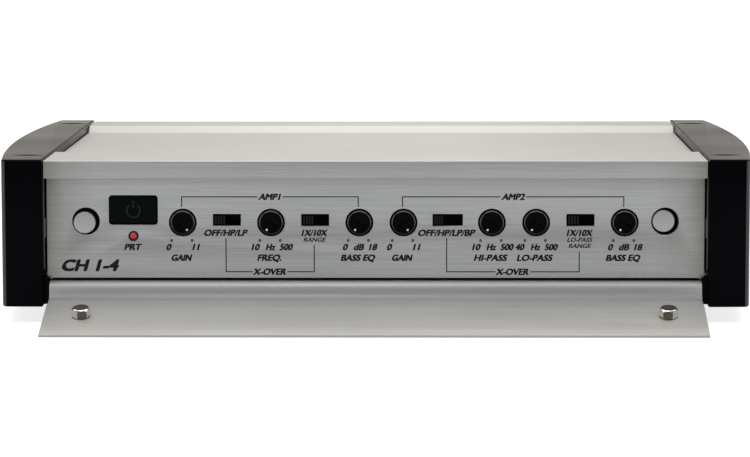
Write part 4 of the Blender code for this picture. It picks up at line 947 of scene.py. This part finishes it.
def makeFlangeScrews():
    lift = baseShape["sheet"] / 2 + 0.05 * mm
    names = ["mounting_screw_front_left", "mounting_screw_front_right",
             "mounting_screw_rear_left", "mounting_screw_rear_right"]
    form = Form("flange_screws", slot="steel", replaced=names)
    places = []
    for (x, y, z, tilt), turn in zip(screwPlaces(), hexScrew["turns"]):
        seat = Matrix.Rotation(tilt, 4, "X")
        spot = Vector((x, y, z)) + seat @ Vector((0.0, 0.0, lift))
        places.append((spot, (seat @ Matrix.Rotation(math.radians(turn), 4, "Z")).to_euler()))
    # painted light: the heads take a lighter copy of the zinc as a painted highlight, with painted shade on the
    # crown and on the flats that face forward or back
    form.take(
        scatter(hexHead(), places, finishes["zincBright"]), finishes["zincBright"], None,
        (finishes["zincShade"], lambda centre, normal: normal.z > 0.93),
        (finishes["zincDull"], lambda centre, normal: abs(normal.z) < 0.5 and abs(normal.x) < 0.4))
    form.take(scatter(screwShank(), places, finishes["zinc"]), finishes["zinc"])
    form.piece(28.0)
    print("flange screws:", len(places))


panelShape = {
    "rim": 0.22 * mm,
    "below": 0.35 * mm,
    "knobPlay": 0.58 * mm,
    "postPlay": 1.05 * mm,
    "sliderPlay": 0.5 * mm,
    "windowCorner": 1.3 * mm,
    "ledPlay": 0.25 * mm,
}


def slotOf(name):
    # middle, length and height of a switch's slot, from its slider at the left end
    values = panelShape
    low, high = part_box(name + "_slider")
    nub = size(name + "_slider").x - 2 * sliderShape["spread"]
    tall = size(name + "_slider").z - 2 * sliderShape["spread"]
    x = (low.x + high.x) / 2 + travel[name] / 2
    play = 2 * values["sliderPlay"]
    return x, (low.z + high.z) / 2, nub + travel[name] + play, tall + play, nub


def windowBox():
    centre, span = middle("power_window"), size("power_window")
    rim = windowShape["hiddenRim"]
    return centre.x, centre.z, span.x - 2 * rim, span.z - 2 * rim


def makeControlPanel():
    values = panelShape
    low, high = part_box("control_panel")
    bottom = low.z - values["below"]
    loops = [rectangle(0.0, (bottom + high.z) / 2, high.x - low.x, high.z - bottom)]
    for name in dials:
        centre = middle(name + "_knob")
        loops.append(circle(centre.x, centre.z, size(name + "_knob").x / 2 + values["knobPlay"]))
    for name in switches:
        x, z, length, tall, _ = slotOf(name)
        loops.append(rectangle(x, z, length, tall, 0.25 * mm, 3))
    for name in ("panel_post_left", "panel_post_right"):
        centre = middle(name)
        loops.append(circle(centre.x, centre.z, postShape["radius"] + values["postPlay"]))
    led = middle("protection_led")
    loops.append(circle(led.x, led.z, ledShape["radius"] + values["ledPlay"], 32))
    x, z, width, height = windowBox()
    loops.append(rectangle(x, z, width, height, values["windowCorner"], 8))
    form = Form("front_panel", slot="panel", replaced=("control_panel",))
    thickness = high.y - low.y
    form.take(plate(loops, thickness, values["rim"], 2), finishes["panel"], front @ at(0.0, 0.0, -thickness / 2))
    form.piece(30.0)
    print("control panel")


knobShape = {
    "chamfer": 0.5 * mm,
    "ringRadius": 3.95 * mm,    # groove round the face
    "ringDepth": 0.3 * mm,
    "dish": 0.25 * mm,
    "slotLength": 6.0 * mm,
    "slotWidth": 1.2 * mm,
    "slotDepth": 1.0 * mm,
    "markRadius": 0.42 * mm,
    "markReach": 3.3 * mm,
    "restTurn": 150.0,          # degrees from upright
}


def makeKnob(name):
    values = knobShape
    node = name + "_knob"
    low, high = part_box(node)
    radius = (high.x - low.x) / 2
    proud = panelFace - low.y
    length = high.y - low.y
    stem, stemLength = 3.0 * mm, 2.2 * mm
    ring, dish = values["ringRadius"], values["dish"]
    back = proud - (length - stemLength)
    profile = [(0, proud - dish)]
    for step in range(1, 6):
        share = step / 5
        profile.append(((ring - 0.25 * mm) * share, proud - dish * (1 - share ** 3) - 0.02 * mm))
    profile += [
        (ring - 0.1 * mm, proud - values["ringDepth"]), (ring + 0.1 * mm, proud - values["ringDepth"]),
        (ring + 0.22 * mm, proud), (radius - values["chamfer"], proud),
        (radius - 0.12 * mm, proud - values["chamfer"] * 0.55), (radius, proud - values["chamfer"] * 1.3),
        (radius, back), (stem, back), (stem, back - stemLength), (0, back - stemLength),
    ]
    body = turned(profile, 72)
    slot = block((values["slotLength"], values["slotWidth"], 2 * values["slotDepth"]), (0, 0, proud))
    body = carved(body, [slot], 0.07 * mm)
    # the two gain knobs rest fully clockwise, the others fully anticlockwise
    clockwise = joints[name + "_turn"]["range_deg"][0] < 0
    turn = math.radians(-values["restTurn"] if clockwise else values["restTurn"])
    x, z = (low.x + high.x) / 2, (low.z + high.z) / 2
    place = front @ at(x, z) @ Matrix.Rotation(turn, 4, "Z")
    form = Form(name + "_trimmer", body=node, slot="control", replaced=(node,))
    edge, cut = ring + 0.05 * mm, values["slotWidth"] / 2 + 0.08 * mm
    # painted highlight: the face's edge and the slot's edges take a lighter black and a stronger gloss, to show
    # highlights along them
    form.take(body, finishes["control"], place, (
        finishes["rim"], lambda centre, normal: (centre.xy.length > edge or abs(centre.y) < cut)
        and abs(normal.z) < 0.97 and centre.z > proud - 1.2 * mm))
    mark = turned([(0, 0.12 * mm), (values["markRadius"] * 0.6, 0.1 * mm), (values["markRadius"], 0.0),
                   (values["markRadius"], -0.25 * mm), (0, -0.25 * mm)], 24)
    form.take(mark, finishes["whiteInk"], place @ at(0.0, values["markReach"], proud - 0.04 * mm))
    form.piece(32.0)


sliderShape = {
    "spread": 1.0 * mm,         # hidden foot past the nub
    "foot": 1.3 * mm,
    "ribs": 4,
    "ribHeight": 0.35 * mm,
}


def makeSlider(name):
    values = sliderShape
    node = name + "_slider"
    low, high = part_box(node)
    _, z, _, _, nub = slotOf(name)
    tall = high.z - low.z - 2 * values["spread"]
    x = (low.x + high.x) / 2
    proud = panelFace - low.y
    back = proud - (high.y - low.y)
    form = Form(name + "_nub", body=node, slot="control", replaced=(node,))
    foot = (high.x - low.x, high.z - low.z, values["foot"])
    form.take(block(foot, (x, z, back + values["foot"] / 2), 0.15 * mm), finishes["dark"], front)
    crown = proud - values["ribHeight"]
    stemDepth = crown - back - values["foot"] / 2
    form.take(block((nub, tall, stemDepth), (x, z, crown - stemDepth / 2), 0.2 * mm), finishes["dark"], front)
    pitch = nub / values["ribs"]
    rib = block((pitch * 0.55, tall - 0.3 * mm, values["ribHeight"] * 2), (0, 0, 0), 0.1 * mm)
    places = []
    for index in range(values["ribs"]):
        ribX = x + (index - (values["ribs"] - 1) / 2) * pitch
        spot = front @ Vector((ribX, z, crown))
        places.append((spot, (quarter, 0.0, 0.0)))
    form.take(scatter(rib, places, finishes["slider"]), finishes["slider"])
    form.piece(35.0)


windowShape = {
    "hiddenRim": 1.6 * mm,
    "play": 0.3 * mm,
    "sink": 0.15 * mm,
    "corner": 1.1 * mm,
    "symbolRadius": 2.6 * mm,
    "symbolLine": 0.45 * mm,
}
ledShape = {"radius": 1.72 * mm, "steps": 12}
postShape = {
    "radius": 4.3 * mm,
    "rim": 0.35 * mm,
    # how far each loose post sits from the middle of its hole
    "lean": {"panel_post_left": (-0.6 * mm, -0.55 * mm), "panel_post_right": (-0.6 * mm, 0.1 * mm)},
}


def arcBand(radius, line, start, end, steps=28):
    angles = [math.radians(start + (end - start) * step / steps) for step in range(steps + 1)]
    outer = [((radius + line / 2) * math.cos(a), (radius + line / 2) * math.sin(a)) for a in angles]
    inner = [((radius - line / 2) * math.cos(a), (radius - line / 2) * math.sin(a)) for a in angles]
    return outer + inner[::-1]


def makeWindow():
    values = windowShape
    x, z, width, height = windowBox()
    low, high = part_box("power_window")
    form = Form("power_window_lens", slot="control", replaced=("power_window",))
    depth = high.y - panelFace - values["sink"]
    outline = rectangle(x, z, width - 2 * values["play"], height - 2 * values["play"], values["corner"], 8)
    pane = plate([outline], depth, 0.35 * mm, 3)
    form.take(pane, finishes["window"], front @ at(0, 0, -values["sink"] - depth / 2))
    rimDepth = high.y - panelBack - 0.3 * mm
    rim = block((high.x - low.x, high.z - low.z, rimDepth), (x, z, panelFace - high.y + rimDepth / 2), 0.1 * mm)
    form.take(rim, finishes["dark"], front)
    form.piece(30.0)
    # faint standby symbol behind the smoked face
    symbol = Form("power_symbol", slot="control")
    radius, line = values["symbolRadius"], values["symbolLine"]
    lift = front @ at(x, z - 0.3 * mm, -values["sink"] + 0.01 * mm)
    symbol.take(plate([arcBand(radius, line, 125.0, 415.0)], 0.03 * mm), finishes["ghost"], lift)
    bar = rectangle(0.0, radius * 0.95, line, radius * 1.1)
    symbol.take(plate([bar], 0.03 * mm), finishes["ghost"], lift)
    symbol.piece()


def makeLed():
    values = ledShape
    low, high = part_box("protection_led")
    proud = panelFace - low.y
    radius, steps = values["radius"], values["steps"]
    angles = [quarter * step / steps for step in range(steps + 1)]
    profile = [(radius * math.sin(a), proud - radius * (1 - math.cos(a))) for a in angles]
    flange = -(panelBack - panelFace) - 0.3 * mm
    back = panelFace - high.y
    wide = (high.x - low.x) / 2
    profile += [(radius, flange), (wide, flange), (wide, back), (0, back)]
    form = Form("protection_lens", slot="led", replaced=("protection_led",))
    # painted shade: the lens's sloping rim is painted a darker red
    form.take(turned(profile, 40), finishes["led"], front @ at((low.x + high.x) / 2, (low.z + high.z) / 2), (
        finishes["ledRim"], lambda centre, normal: normal.z < 0.66))
    form.piece(40.0)


def makePost(name):
    values = postShape
    low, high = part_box(name)
    radius, rim = values["radius"], values["rim"]
    back = -(panelBack - panelFace) - 0.3 * mm
    wide = (high.x - low.x) / 2
    end = panelFace - high.y
    profile = [
        (0, 0.0), (radius - rim * 1.6, 0.0), (radius - rim, -0.03 * mm), (radius - rim * 0.3, -rim * 0.4),
        (radius, -rim), (radius, back), (wide - 0.65 * mm, back), (wide - 0.65 * mm, back - 1.5 * mm),
        (radius, back - 1.5 * mm), (radius, end), (0, end),
    ]
    dx, dz = values["lean"][name]
    form = Form(name + "_disc", slot="post", replaced=(name,))
    place = front @ at((low.x + high.x) / 2 + dx, (low.z + high.z) / 2 + dz)
    form.take(turned(profile, 72), finishes["post"], place, (
        finishes["dark"], lambda centre, normal: centre.z < -1.2 * mm))
    form.piece(30.0)


printing = {
    "lift": 0.02 * mm,          # ink over the panel
    "thickness": 0.03 * mm,
    "slant": 0.22,
    "bold": 0.076 * mm,         # half the gap between the strikes of a bold letter
    "light": 0.03 * mm,
    "stretch": 1.08,
    "line": 0.4 * mm,
    "tall": 2.3 * mm,           # capital height
    "small": 1.65 * mm,
    "title": 4.15 * mm,
    "heavy": 0.15 * mm,
    "nudge": -0.4 * mm,         # the print sits a little left of the controls
    "nudgeNames": -0.35 * mm,   # and the names further still
    # heights of the print, from the middle of the knobs
    "values": -9.6 * mm,
    "names": -13.8 * mm,
    "rings": -7.0 * mm,
    "ringReach": 4.0 * mm,
    "ampTitle": 10.1 * mm,
    "crossover": -19.3 * mm,
    "model": -16.8 * mm,
}
# width of each word in millimetres, where the letters' own width isn't kept
wordWidths = {
    "OFF/HP/LP": 17.1, "OFF/HP/LP/BP": 22.5, "1X/10X": 10.4, "AMP1": 9.0, "AMP2": 9.3, "X-OVER": 13.0,
    "FREQ.": 9.7, "GAIN": 8.2, "BASS EQ": 13.6, "HI-PASS": 13.3, "LO-PASS": 14.3, "PRT": 7.1, "CH 1-4": 22.6,
    "10": 3.5, "40": 3.8, "500": 5.4, "18": 3.5, "11": 3.2, "Hz": 4.0, "dB": 4.2,
}
dialLegends = {
    # low end, unit, high end, name, and how far the numbers stand out to the sides
    "gain_1": ("0", "", "11", "GAIN", 5.3),
    "crossover_frequency": ("10", "Hz", "500", "FREQ.", 6.1),
    "bass_boost_1": ("0", "dB", "18", "BASS EQ", 5.3),
    "gain_2": ("0", "", "11", "GAIN", 5.3),
    "high_pass_frequency": ("10", "Hz", "500", "HI-PASS", 6.1),
    "low_pass_frequency": ("40", "Hz", "500", "LO-PASS", 6.1),
    "bass_boost_2": ("0", "dB", "18", "BASS EQ", 5.3),
}
switchLegends = {
    "crossover_mode_1": ("OFF/HP/LP",),
    "frequency_range_1": ("1X/10X", "RANGE"),
    "crossover_mode_2": ("OFF/HP/LP/BP",),
    "frequency_range_2": ("1X/10X", "LO-PASS", "RANGE"),
}


def fontMesh(text, slant):
    font = bpy.data.curves.new("label", "FONT")
    font.body = text
    font.align_x = "CENTER"
    font.size = 1.0
    font.shear = slant
    font.resolution_u = 3
    font.extrude = 0.5
    return evaluatedMesh(linked("label", font))


def textSpan(words, slant, axis):
    mesh = fontMesh(words, slant)
    places = [vertex.co[axis] for vertex in mesh.vertices]
    bpy.data.meshes.remove(mesh)
    return max(places) - min(places)


class Legend:
    # ink on a panel: text, lines and dots in the panel's own x and y
    def __init__(self, name, panel, finish):
        self.form = Form(name, slot="panel")
        self.panel = panel
        self.finish = finish
        self.scale = 1.0 / textSpan("H", 0.0, 1)

    def text(self, words, x, y, tall, weight=printing["bold"]):
        # y is the middle of the capitals
        unit = tall * self.scale
        wide = unit * printing["stretch"]
        if words in wordWidths and tall != printing["small"]:
            wide = (wordWidths[words] * mm - 6 * weight) / textSpan(words, printing["slant"], 0)
        sizes = Matrix.Diagonal((wide, unit, printing["thickness"], 1.0))
        # each word is struck four times, a hair apart
        for strike in (-3, -1, 1, 3):
            shape = asShape(fontMesh(words, printing["slant"]))
            bmesh.ops.remove_doubles(shape, verts=shape.verts, dist=0.0001)
            rise = 1.7 * weight if strike in (-1, 3) else -1.7 * weight
            spot = at(x + strike * weight, y - tall / 2 + rise, self.level() + strike * 0.001 * mm)
            self.form.take(shape, self.finish, self.panel @ spot @ sizes)

    def level(self):
        return printing["lift"] - printing["thickness"] / 2

    def line(self, x0, y0, x1, y1):
        wide = printing["line"]
        span = (abs(x1 - x0) + wide, abs(y1 - y0) + wide, printing["thickness"])
        self.form.take(block(span, ((x0 + x1) / 2, (y0 + y1) / 2, self.level())), self.finish, self.panel)

    def bracket(self, left, right, y, gap, leftEnd, rightEnd):
        # two halves of a bracket with its title between them, legs ending at two heights
        middleX, half = gap
        self.line(left, y, middleX - half, y)
        self.line(middleX + half, y, right, y)
        self.line(left, y, left, leftEnd)
        self.line(right, y, right, rightEnd)

    def rings(self, places, outer=0.55 * mm, inner=0.15 * mm):
        ring = plate([circle(0, 0, outer, 20), circle(0, 0, inner, 16)], printing["thickness"])
        spots = [(self.panel @ Vector((x, y, self.level())), (quarter, 0.0, 0.0)) for x, y in places]
        self.form.take(scatter(ring, spots, self.finish), self.finish)


def makeFrontLegends():
    legend = Legend("front_legends", front, finishes["ink"])
    tall, small, light = printing["tall"], printing["small"], printing["light"]
    knobZ = middle("gain_1_knob").z
    titleZ, crossoverZ = knobZ + printing["ampTitle"], knobZ + printing["crossover"]
    nudge, names = printing["nudge"], printing["nudgeNames"]
    places = []
    for name in dials:
        low, unit, high, title, reach = dialLegends[name]
        x = middle(name + "_knob").x + nudge
        legend.text(low, x - reach * mm, knobZ + printing["values"], tall)
        legend.text(high, x + reach * mm, knobZ + printing["values"], tall)
        if unit:
            legend.text(unit, x, knobZ + printing["values"], tall)
        legend.text(title, x + names, knobZ + printing["names"], tall)
        places += [(x + side * printing["ringReach"], knobZ + printing["rings"]) for side in (-1, 1)]
    legend.rings(places)
    for name in switches:
        x = slotOf(name)[0] + nudge
        words = switchLegends[name]
        legend.text(words[0], x + names, knobZ - 4.0 * mm, tall)
        for row, word in enumerate(words[1:]):
            legend.text(word, x, knobZ - (6.7 + 2.4 * row) * mm, small, light)
    led = middle("protection_led")
    legend.text("PRT", led.x + 1.6 * names, knobZ + printing["values"], tall)
    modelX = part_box("control_panel")[0].x + 16.4 * mm
    legend.text("CH 1-4", modelX, knobZ + printing["model"], printing["title"], printing["heavy"])

    def control(name):
        return (middle(name + "_knob").x if name in dials else slotOf(name)[0]) + nudge

    for title, first, last in (("AMP1", "gain_1", "bass_boost_1"), ("AMP2", "gain_2", "bass_boost_2")):
        left, right = control(first), control(last)
        centre = (left + right) / 2
        legend.text(title, centre, titleZ, tall)
        legend.bracket(left, right, titleZ, (centre, 5.2 * mm), knobZ + 6.3 * mm, knobZ + 6.3 * mm)
    ends = (("crossover_mode_1", "frequency_range_1", 9.0), ("crossover_mode_2", "frequency_range_2", 11.6))
    for first, last, rightDrop in ends:
        left, right = control(first), control(last)
        centre = (left + right) / 2
        legend.text("X-OVER", centre + names, crossoverZ, tall)
        legend.bracket(left, right, crossoverZ, (centre, 7.0 * mm), knobZ - 6.3 * mm, knobZ - rightDrop * mm)
    legend.form.piece(60.0)
    print("front legends")


rearShape = {
    "edge": 0.4 * mm,
    "powerWells": 3,
    "powerPitch": 13.5 * mm,
    "powerWell": 9.0 * mm,
    "powerReach": 14.0 * mm,
    "speakerWells": 8,
    "speakerPitch": 8.6 * mm,
    "speakerWell": 3.8 * mm,
    "speakerReach": 11.0 * mm,
    "barrel": 4.2 * mm,
    "bore": 1.65 * mm,
    "pitchX": 18.0 * mm,
    "pitchZ": 14.0 * mm,
    "blade": (5.2 * mm, 0.7 * mm, 7.0 * mm),
    "bladeInset": 1.2 * mm,
}


def makeConnectorPanel():
    low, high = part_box("connector_panel")
    centreZ = (low.z + high.z) / 2
    play = 0.3 * mm
    loops = [rectangle(0.0, centreZ, high.x - low.x, high.z - low.z)]
    for name in ("power_terminal_block", "speaker_terminal_block", "fuse_holder"):
        centre, span = middle(name), size(name)
        loops.append(rectangle(-centre.x, centre.z, span.x + 2 * play, span.z + 2 * play, 0.2 * mm, 2))
    for x, z in rcaPlaces():
        loops.append(circle(-x, z, rearShape["barrel"] + 0.5 * mm))
    form = Form("rear_panel", slot="panel", replaced=("connector_panel",))
    thickness = high.y - low.y
    form.take(plate(loops, thickness, 0.2 * mm, 2), finishes["panel"], rear @ at(0, 0, -thickness / 2))
    form.piece(30.0)


def rcaPlaces():
    values = rearShape
    centre = middle("rca_jack_block")
    offsets = [(sx * values["pitchX"] / 2, sz * values["pitchZ"] / 2) for sx in (-1, 1) for sz in (-1, 1)]
    return [(centre.x + dx, centre.z + dz) for dx, dz in offsets]


def panelScrew():
    # pan head with a cross recess, standing on z = 0
    head = turned([(0, 1.15 * mm), (0.9 * mm, 1.1 * mm), (1.7 * mm, 0.9 * mm), (2.3 * mm, 0.5 * mm),
                   (2.55 * mm, 0.1 * mm), (2.55 * mm, 0.0), (0, 0.0)], 32)
    cross = []
    for turn in (0.0, quarter):
        cut = block((2.6 * mm, 0.55 * mm, 1.4 * mm), (0, 0, 1.15 * mm))
        cut.transform(Matrix.Rotation(turn, 4, "Z"))
        cross.append(cut)
    return carved(head, cross)


def setScrew(radius):
    # slotted cheese-head screw sunk in a terminal's top
    head = turned([(0, 0.25 * mm), (radius - 0.2 * mm, 0.25 * mm), (radius, 0.05 * mm), (radius, -0.6 * mm),
                   (0, -0.6 * mm)], 28)
    return carved(head, [block((radius * 2.2, 0.5 * mm, 0.8 * mm), (0, 0, 0.25 * mm))])


def terminalBlock(name, node, wells, pitch, well, reach, screwRadius):
    low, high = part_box(node)
    centre = (low + high) / 2
    length = high.y - low.y
    body = block((high.x - low.x, high.z - low.z, length), (0, 0, reach - length / 2), rearShape["edge"])
    places = [(index - (wells - 1) / 2) * pitch for index in range(wells)]
    depth = reach * 0.92
    cutters = [block((well, well, 2 * depth), (x, 0, reach)) for x in places]
    form = Form(name, slot="terminal", replaced=(node,))
    seat = rear @ at(-centre.x, centre.z)
    form.take(carved(body, cutters, 0.12 * mm), finishes["terminal"], seat)
    # a plated square tube lines each well
    for x in places:
        liner = plate([rectangle(x, 0, well, well), rectangle(x, 0, well - 0.9 * mm, well - 0.9 * mm)], depth * 0.8)
        form.take(liner, finishes["gold"], seat @ at(0, 0, reach - 0.9 * mm - depth * 0.4))
    top = high.z
    spots = [(Vector((centre.x + x, rearFace + reach * 0.55, top)), (0.0, 0.0, 0.0)) for x in places]
    return form, spots, screwRadius


def makeTerminals():
    values = rearShape
    power = terminalBlock("power_terminals", "power_terminal_block", values["powerWells"], values["powerPitch"],
                          values["powerWell"], values["powerReach"], 2.6 * mm)
    speakers = terminalBlock("speaker_terminals", "speaker_terminal_block", values["speakerWells"],
                             values["speakerPitch"], values["speakerWell"], values["speakerReach"], 1.7 * mm)
    for seed, (form, spots, radius) in enumerate((power, speakers)):
        lowered = [(spot - Vector((0, 0, 0.3 * mm)), turn) for spot, turn in spots]
        screws = scatter(setScrew(radius), lowered, finishes["zinc"], math.pi, 7 + seed)
        form.take(screws, finishes["zinc"])
        form.piece(35.0)


def makeJacks():
    values = rearShape
    low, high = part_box("rca_jack_block")
    centre = (low + high) / 2
    thickness = size("connector_panel").y
    form = Form("rca_jacks", slot="terminal", replaced=("rca_jack_block",))
    face = rearFace - thickness - 0.3 * mm
    depth = face - low.y
    body = block((high.x - low.x, high.z - low.z, depth), (0, 0, face - rearFace - depth / 2), 0.4 * mm)
    form.take(body, finishes["terminal"], rear @ at(-centre.x, centre.z))
    tip = high.y - rearFace
    radius, bore = values["barrel"], values["bore"]
    for x, z in rcaPlaces():
        seat = rear @ at(-x, z)
        ring = finishes["ringRed"] if x < centre.x else finishes["ringWhite"]
        barrel = [
            (bore + 0.9 * mm, tip - 1.2 * mm), (bore + 0.9 * mm, tip), (radius - 0.35 * mm, tip),
            (radius, tip - 0.35 * mm), (radius, 2.2 * mm), (radius - 0.15 * mm, 2.0 * mm),
            (radius - 0.15 * mm, -thickness - 0.6 * mm), (bore + 0.9 * mm, -thickness - 0.6 * mm),
            (bore + 0.9 * mm, tip - 1.2 * mm),
        ]
        form.take(turned(barrel, 48), finishes["gold"], seat)
        insulator = [(bore, tip - 0.4 * mm), (bore + 0.9 * mm, tip - 0.4 * mm), (bore + 0.9 * mm, -thickness),
                     (bore, -thickness), (bore, tip - 0.4 * mm)]
        form.take(turned(insulator, 40), ring, seat)
        collar = [(radius, 0.9 * mm), (radius + 0.9 * mm, 0.75 * mm), (radius + 1.1 * mm, 0.1 * mm),
                  (radius + 1.1 * mm, 0.02 * mm), (radius, 0.02 * mm), (radius, 0.9 * mm)]
        form.take(turned(collar, 48), ring, seat)
    form.piece(35.0)


def makeFuses():
    values = rearShape
    low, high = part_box("fuse_holder")
    centre = (low + high) / 2
    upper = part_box("fuse_upper")
    width, thick = upper[1].x - upper[0].x, upper[1].z - upper[0].z
    bladeWide, bladeThick, bladeLong = values["blade"]
    bodyDeep = upper[1].y - upper[0].y - bladeLong
    seatY = upper[0].y + bladeLong - rearFace
    reach = high.y - rearFace
    length = high.y - low.y
    body = block((high.x - low.x, high.z - low.z, length), (0, 0, reach - length / 2), values["edge"])
    bladeX = width / 2 - values["bladeInset"] - bladeWide / 2
    cutters = []
    for node in ("fuse_upper", "fuse_lower"):
        dz = middle(node).z - centre.z
        pocket = reach - seatY + 0.3 * mm
        cutters.append(block((width + 0.8 * mm, thick + 0.8 * mm, 2 * pocket), (0, dz, reach)))
        for side in (-1, 1):
            slit = (bladeWide + 0.8 * mm, bladeThick + 0.8 * mm, 2 * (pocket + bladeLong + 1.0 * mm))
            cutters.append(block(slit, (side * bladeX, dz, reach)))
    form = Form("fuse_socket", slot="terminal", replaced=("fuse_holder",))
    form.take(carved(body, cutters, 0.1 * mm), finishes["terminal"], rear @ at(-centre.x, centre.z))
    form.piece(35.0)
    for node in ("fuse_upper", "fuse_lower"):
        spot = middle(node)
        seat = rear @ at(-spot.x, spot.z, seatY)
        fuse = Form(node + "_blade", body=node, slot="fuse", replaced=(node,))
        shell = block((width, thick, bodyDeep), (0, 0, bodyDeep / 2), 0.5 * mm, 3)
        # the grip is waisted on both sides
        waist = (width * 0.62, 1.2 * mm, bodyDeep * 0.45)
        waists = [block(waist, (0, side * thick / 2, bodyDeep * 0.72)) for side in (-1, 1)]
        fuse.take(carved(shell, waists, 0.15 * mm), finishes["fuse"], seat)
        for side in (-1, 1):
            root = (side * bladeX, 0, -bladeLong / 2 + 0.5 * mm)
            blade = block((bladeWide, bladeThick, bladeLong + 1.0 * mm), root, 0.12 * mm)
            fuse.take(blade, finishes["zinc"], seat)
        fuse.piece(35.0)


def makeRearLegends():
    legend = Legend("rear_legends", rear, finishes["ink"])
    tall, small, light = printing["tall"], printing["small"], printing["light"]
    power, speakers = middle("power_terminal_block"), middle("speaker_terminal_block")
    jacks, fuses = middle("rca_jack_block"), middle("fuse_holder")
    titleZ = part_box("connector_panel")[1].z - 6.75 * mm
    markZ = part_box("rca_jack_block")[0].z - 2.0 * mm
    legend.text("POWER", -power.x, titleZ, tall)
    legend.text("SPEAKERS", -speakers.x, titleZ, tall)
    legend.text("FUSES", -fuses.x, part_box("fuse_holder")[0].z - 2.8 * mm, tall)
    legend.text("INPUTS", -jacks.x, markZ, tall)
    values = rearShape
    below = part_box("power_terminal_block")[0].z - 2.6 * mm
    for index, word in enumerate(("+12V", "REM", "GND")):
        legend.text(word, -power.x + (index - 1) * values["powerPitch"], below, small, light)
    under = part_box("speaker_terminal_block")[0].z - 2.6 * mm
    for index in range(values["speakerWells"]):
        sign = "+" if index % 2 == 0 else "-"
        x = -speakers.x + (index - (values["speakerWells"] - 1) / 2) * values["speakerPitch"]
        legend.text(sign, x, under, small, light)
    channels = values["speakerWells"] // 2
    for index in range(channels):
        x = -speakers.x + (2 * index + 0.5 - (values["speakerWells"] - 1) / 2) * values["speakerPitch"]
        legend.text("CH " + str(index + 1), x, under - 3.4 * mm, small, light)
        legend.line(x - 5.6 * mm, under - 1.7 * mm, x + 5.6 * mm, under - 1.7 * mm)
    for x, word in ((jacks.x + values["pitchX"] / 2, "L"), (jacks.x - values["pitchX"] / 2, "R")):
        legend.text(word, -x, markZ, small, light)
    legend.form.piece(60.0)


def makePanelScrews():
    low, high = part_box("connector_panel")
    inset = 6.0 * mm
    xs = (low.x + inset, 1.0 * mm, high.x - inset)
    places = [(Vector((x, rearFace + 0.02 * mm, low.z + 5.0 * mm)), (-quarter, 0.0, 0.0)) for x in xs]
    form = Form("rear_panel_screws", slot="steel")
    form.take(scatter(panelScrew(), places, finishes["blackOxide"], math.pi, 3), finishes["blackOxide"])
    form.piece(35.0)
    print("rear connectors")


def dressFrame():
    kept = {
        "sheet": ("end_plate_left", "end_plate_right"),
        "board": ("circuit_board",),
        "copper": ("toroid_transformer", "filter_choke"),
        "sleeve": tuple("storage_capacitor_" + str(index) for index in (1, 2, 3, 4)),
        "package": tuple("power_transistor_" + corner for corner in (
            "front_left", "front_right", "rear_left", "rear_right")),
        "zinc": ("board_standoff_left", "board_standoff_right", "transistor_clamp_front", "transistor_clamp_rear"),
        "dark": tuple(name + "_pot" for name in dials) + tuple(name + "_switch" for name in switches),
    }
    for finish, names in kept.items():
        for name in names:
            node = frame["nodes"][name]
            node.data.materials.clear()
            node.data.materials.append(finishes[finish].material)
    print("frame nodes dressed:", sum(len(names) for names in kept.values()))


setStudio()
finishes = makeFinishes()
scatterTree = makeScatterTree()
makeLid()
makeEndCap(-1, "end_cap_left")
makeEndCap(1, "end_cap_right")
makeBasePlate()
makeFlangeScrews()
makeControlPanel()
for dial in dials:
    makeKnob(dial)
for switch in switches:
    makeSlider(switch)
makeWindow()
makeLed()
makePost("panel_post_left")
makePost("panel_post_right")
makeFrontLegends()
makeConnectorPanel()
makeTerminals()
makeJacks()
makeFuses()
makeRearLegends()
makePanelScrews()
dressFrame()
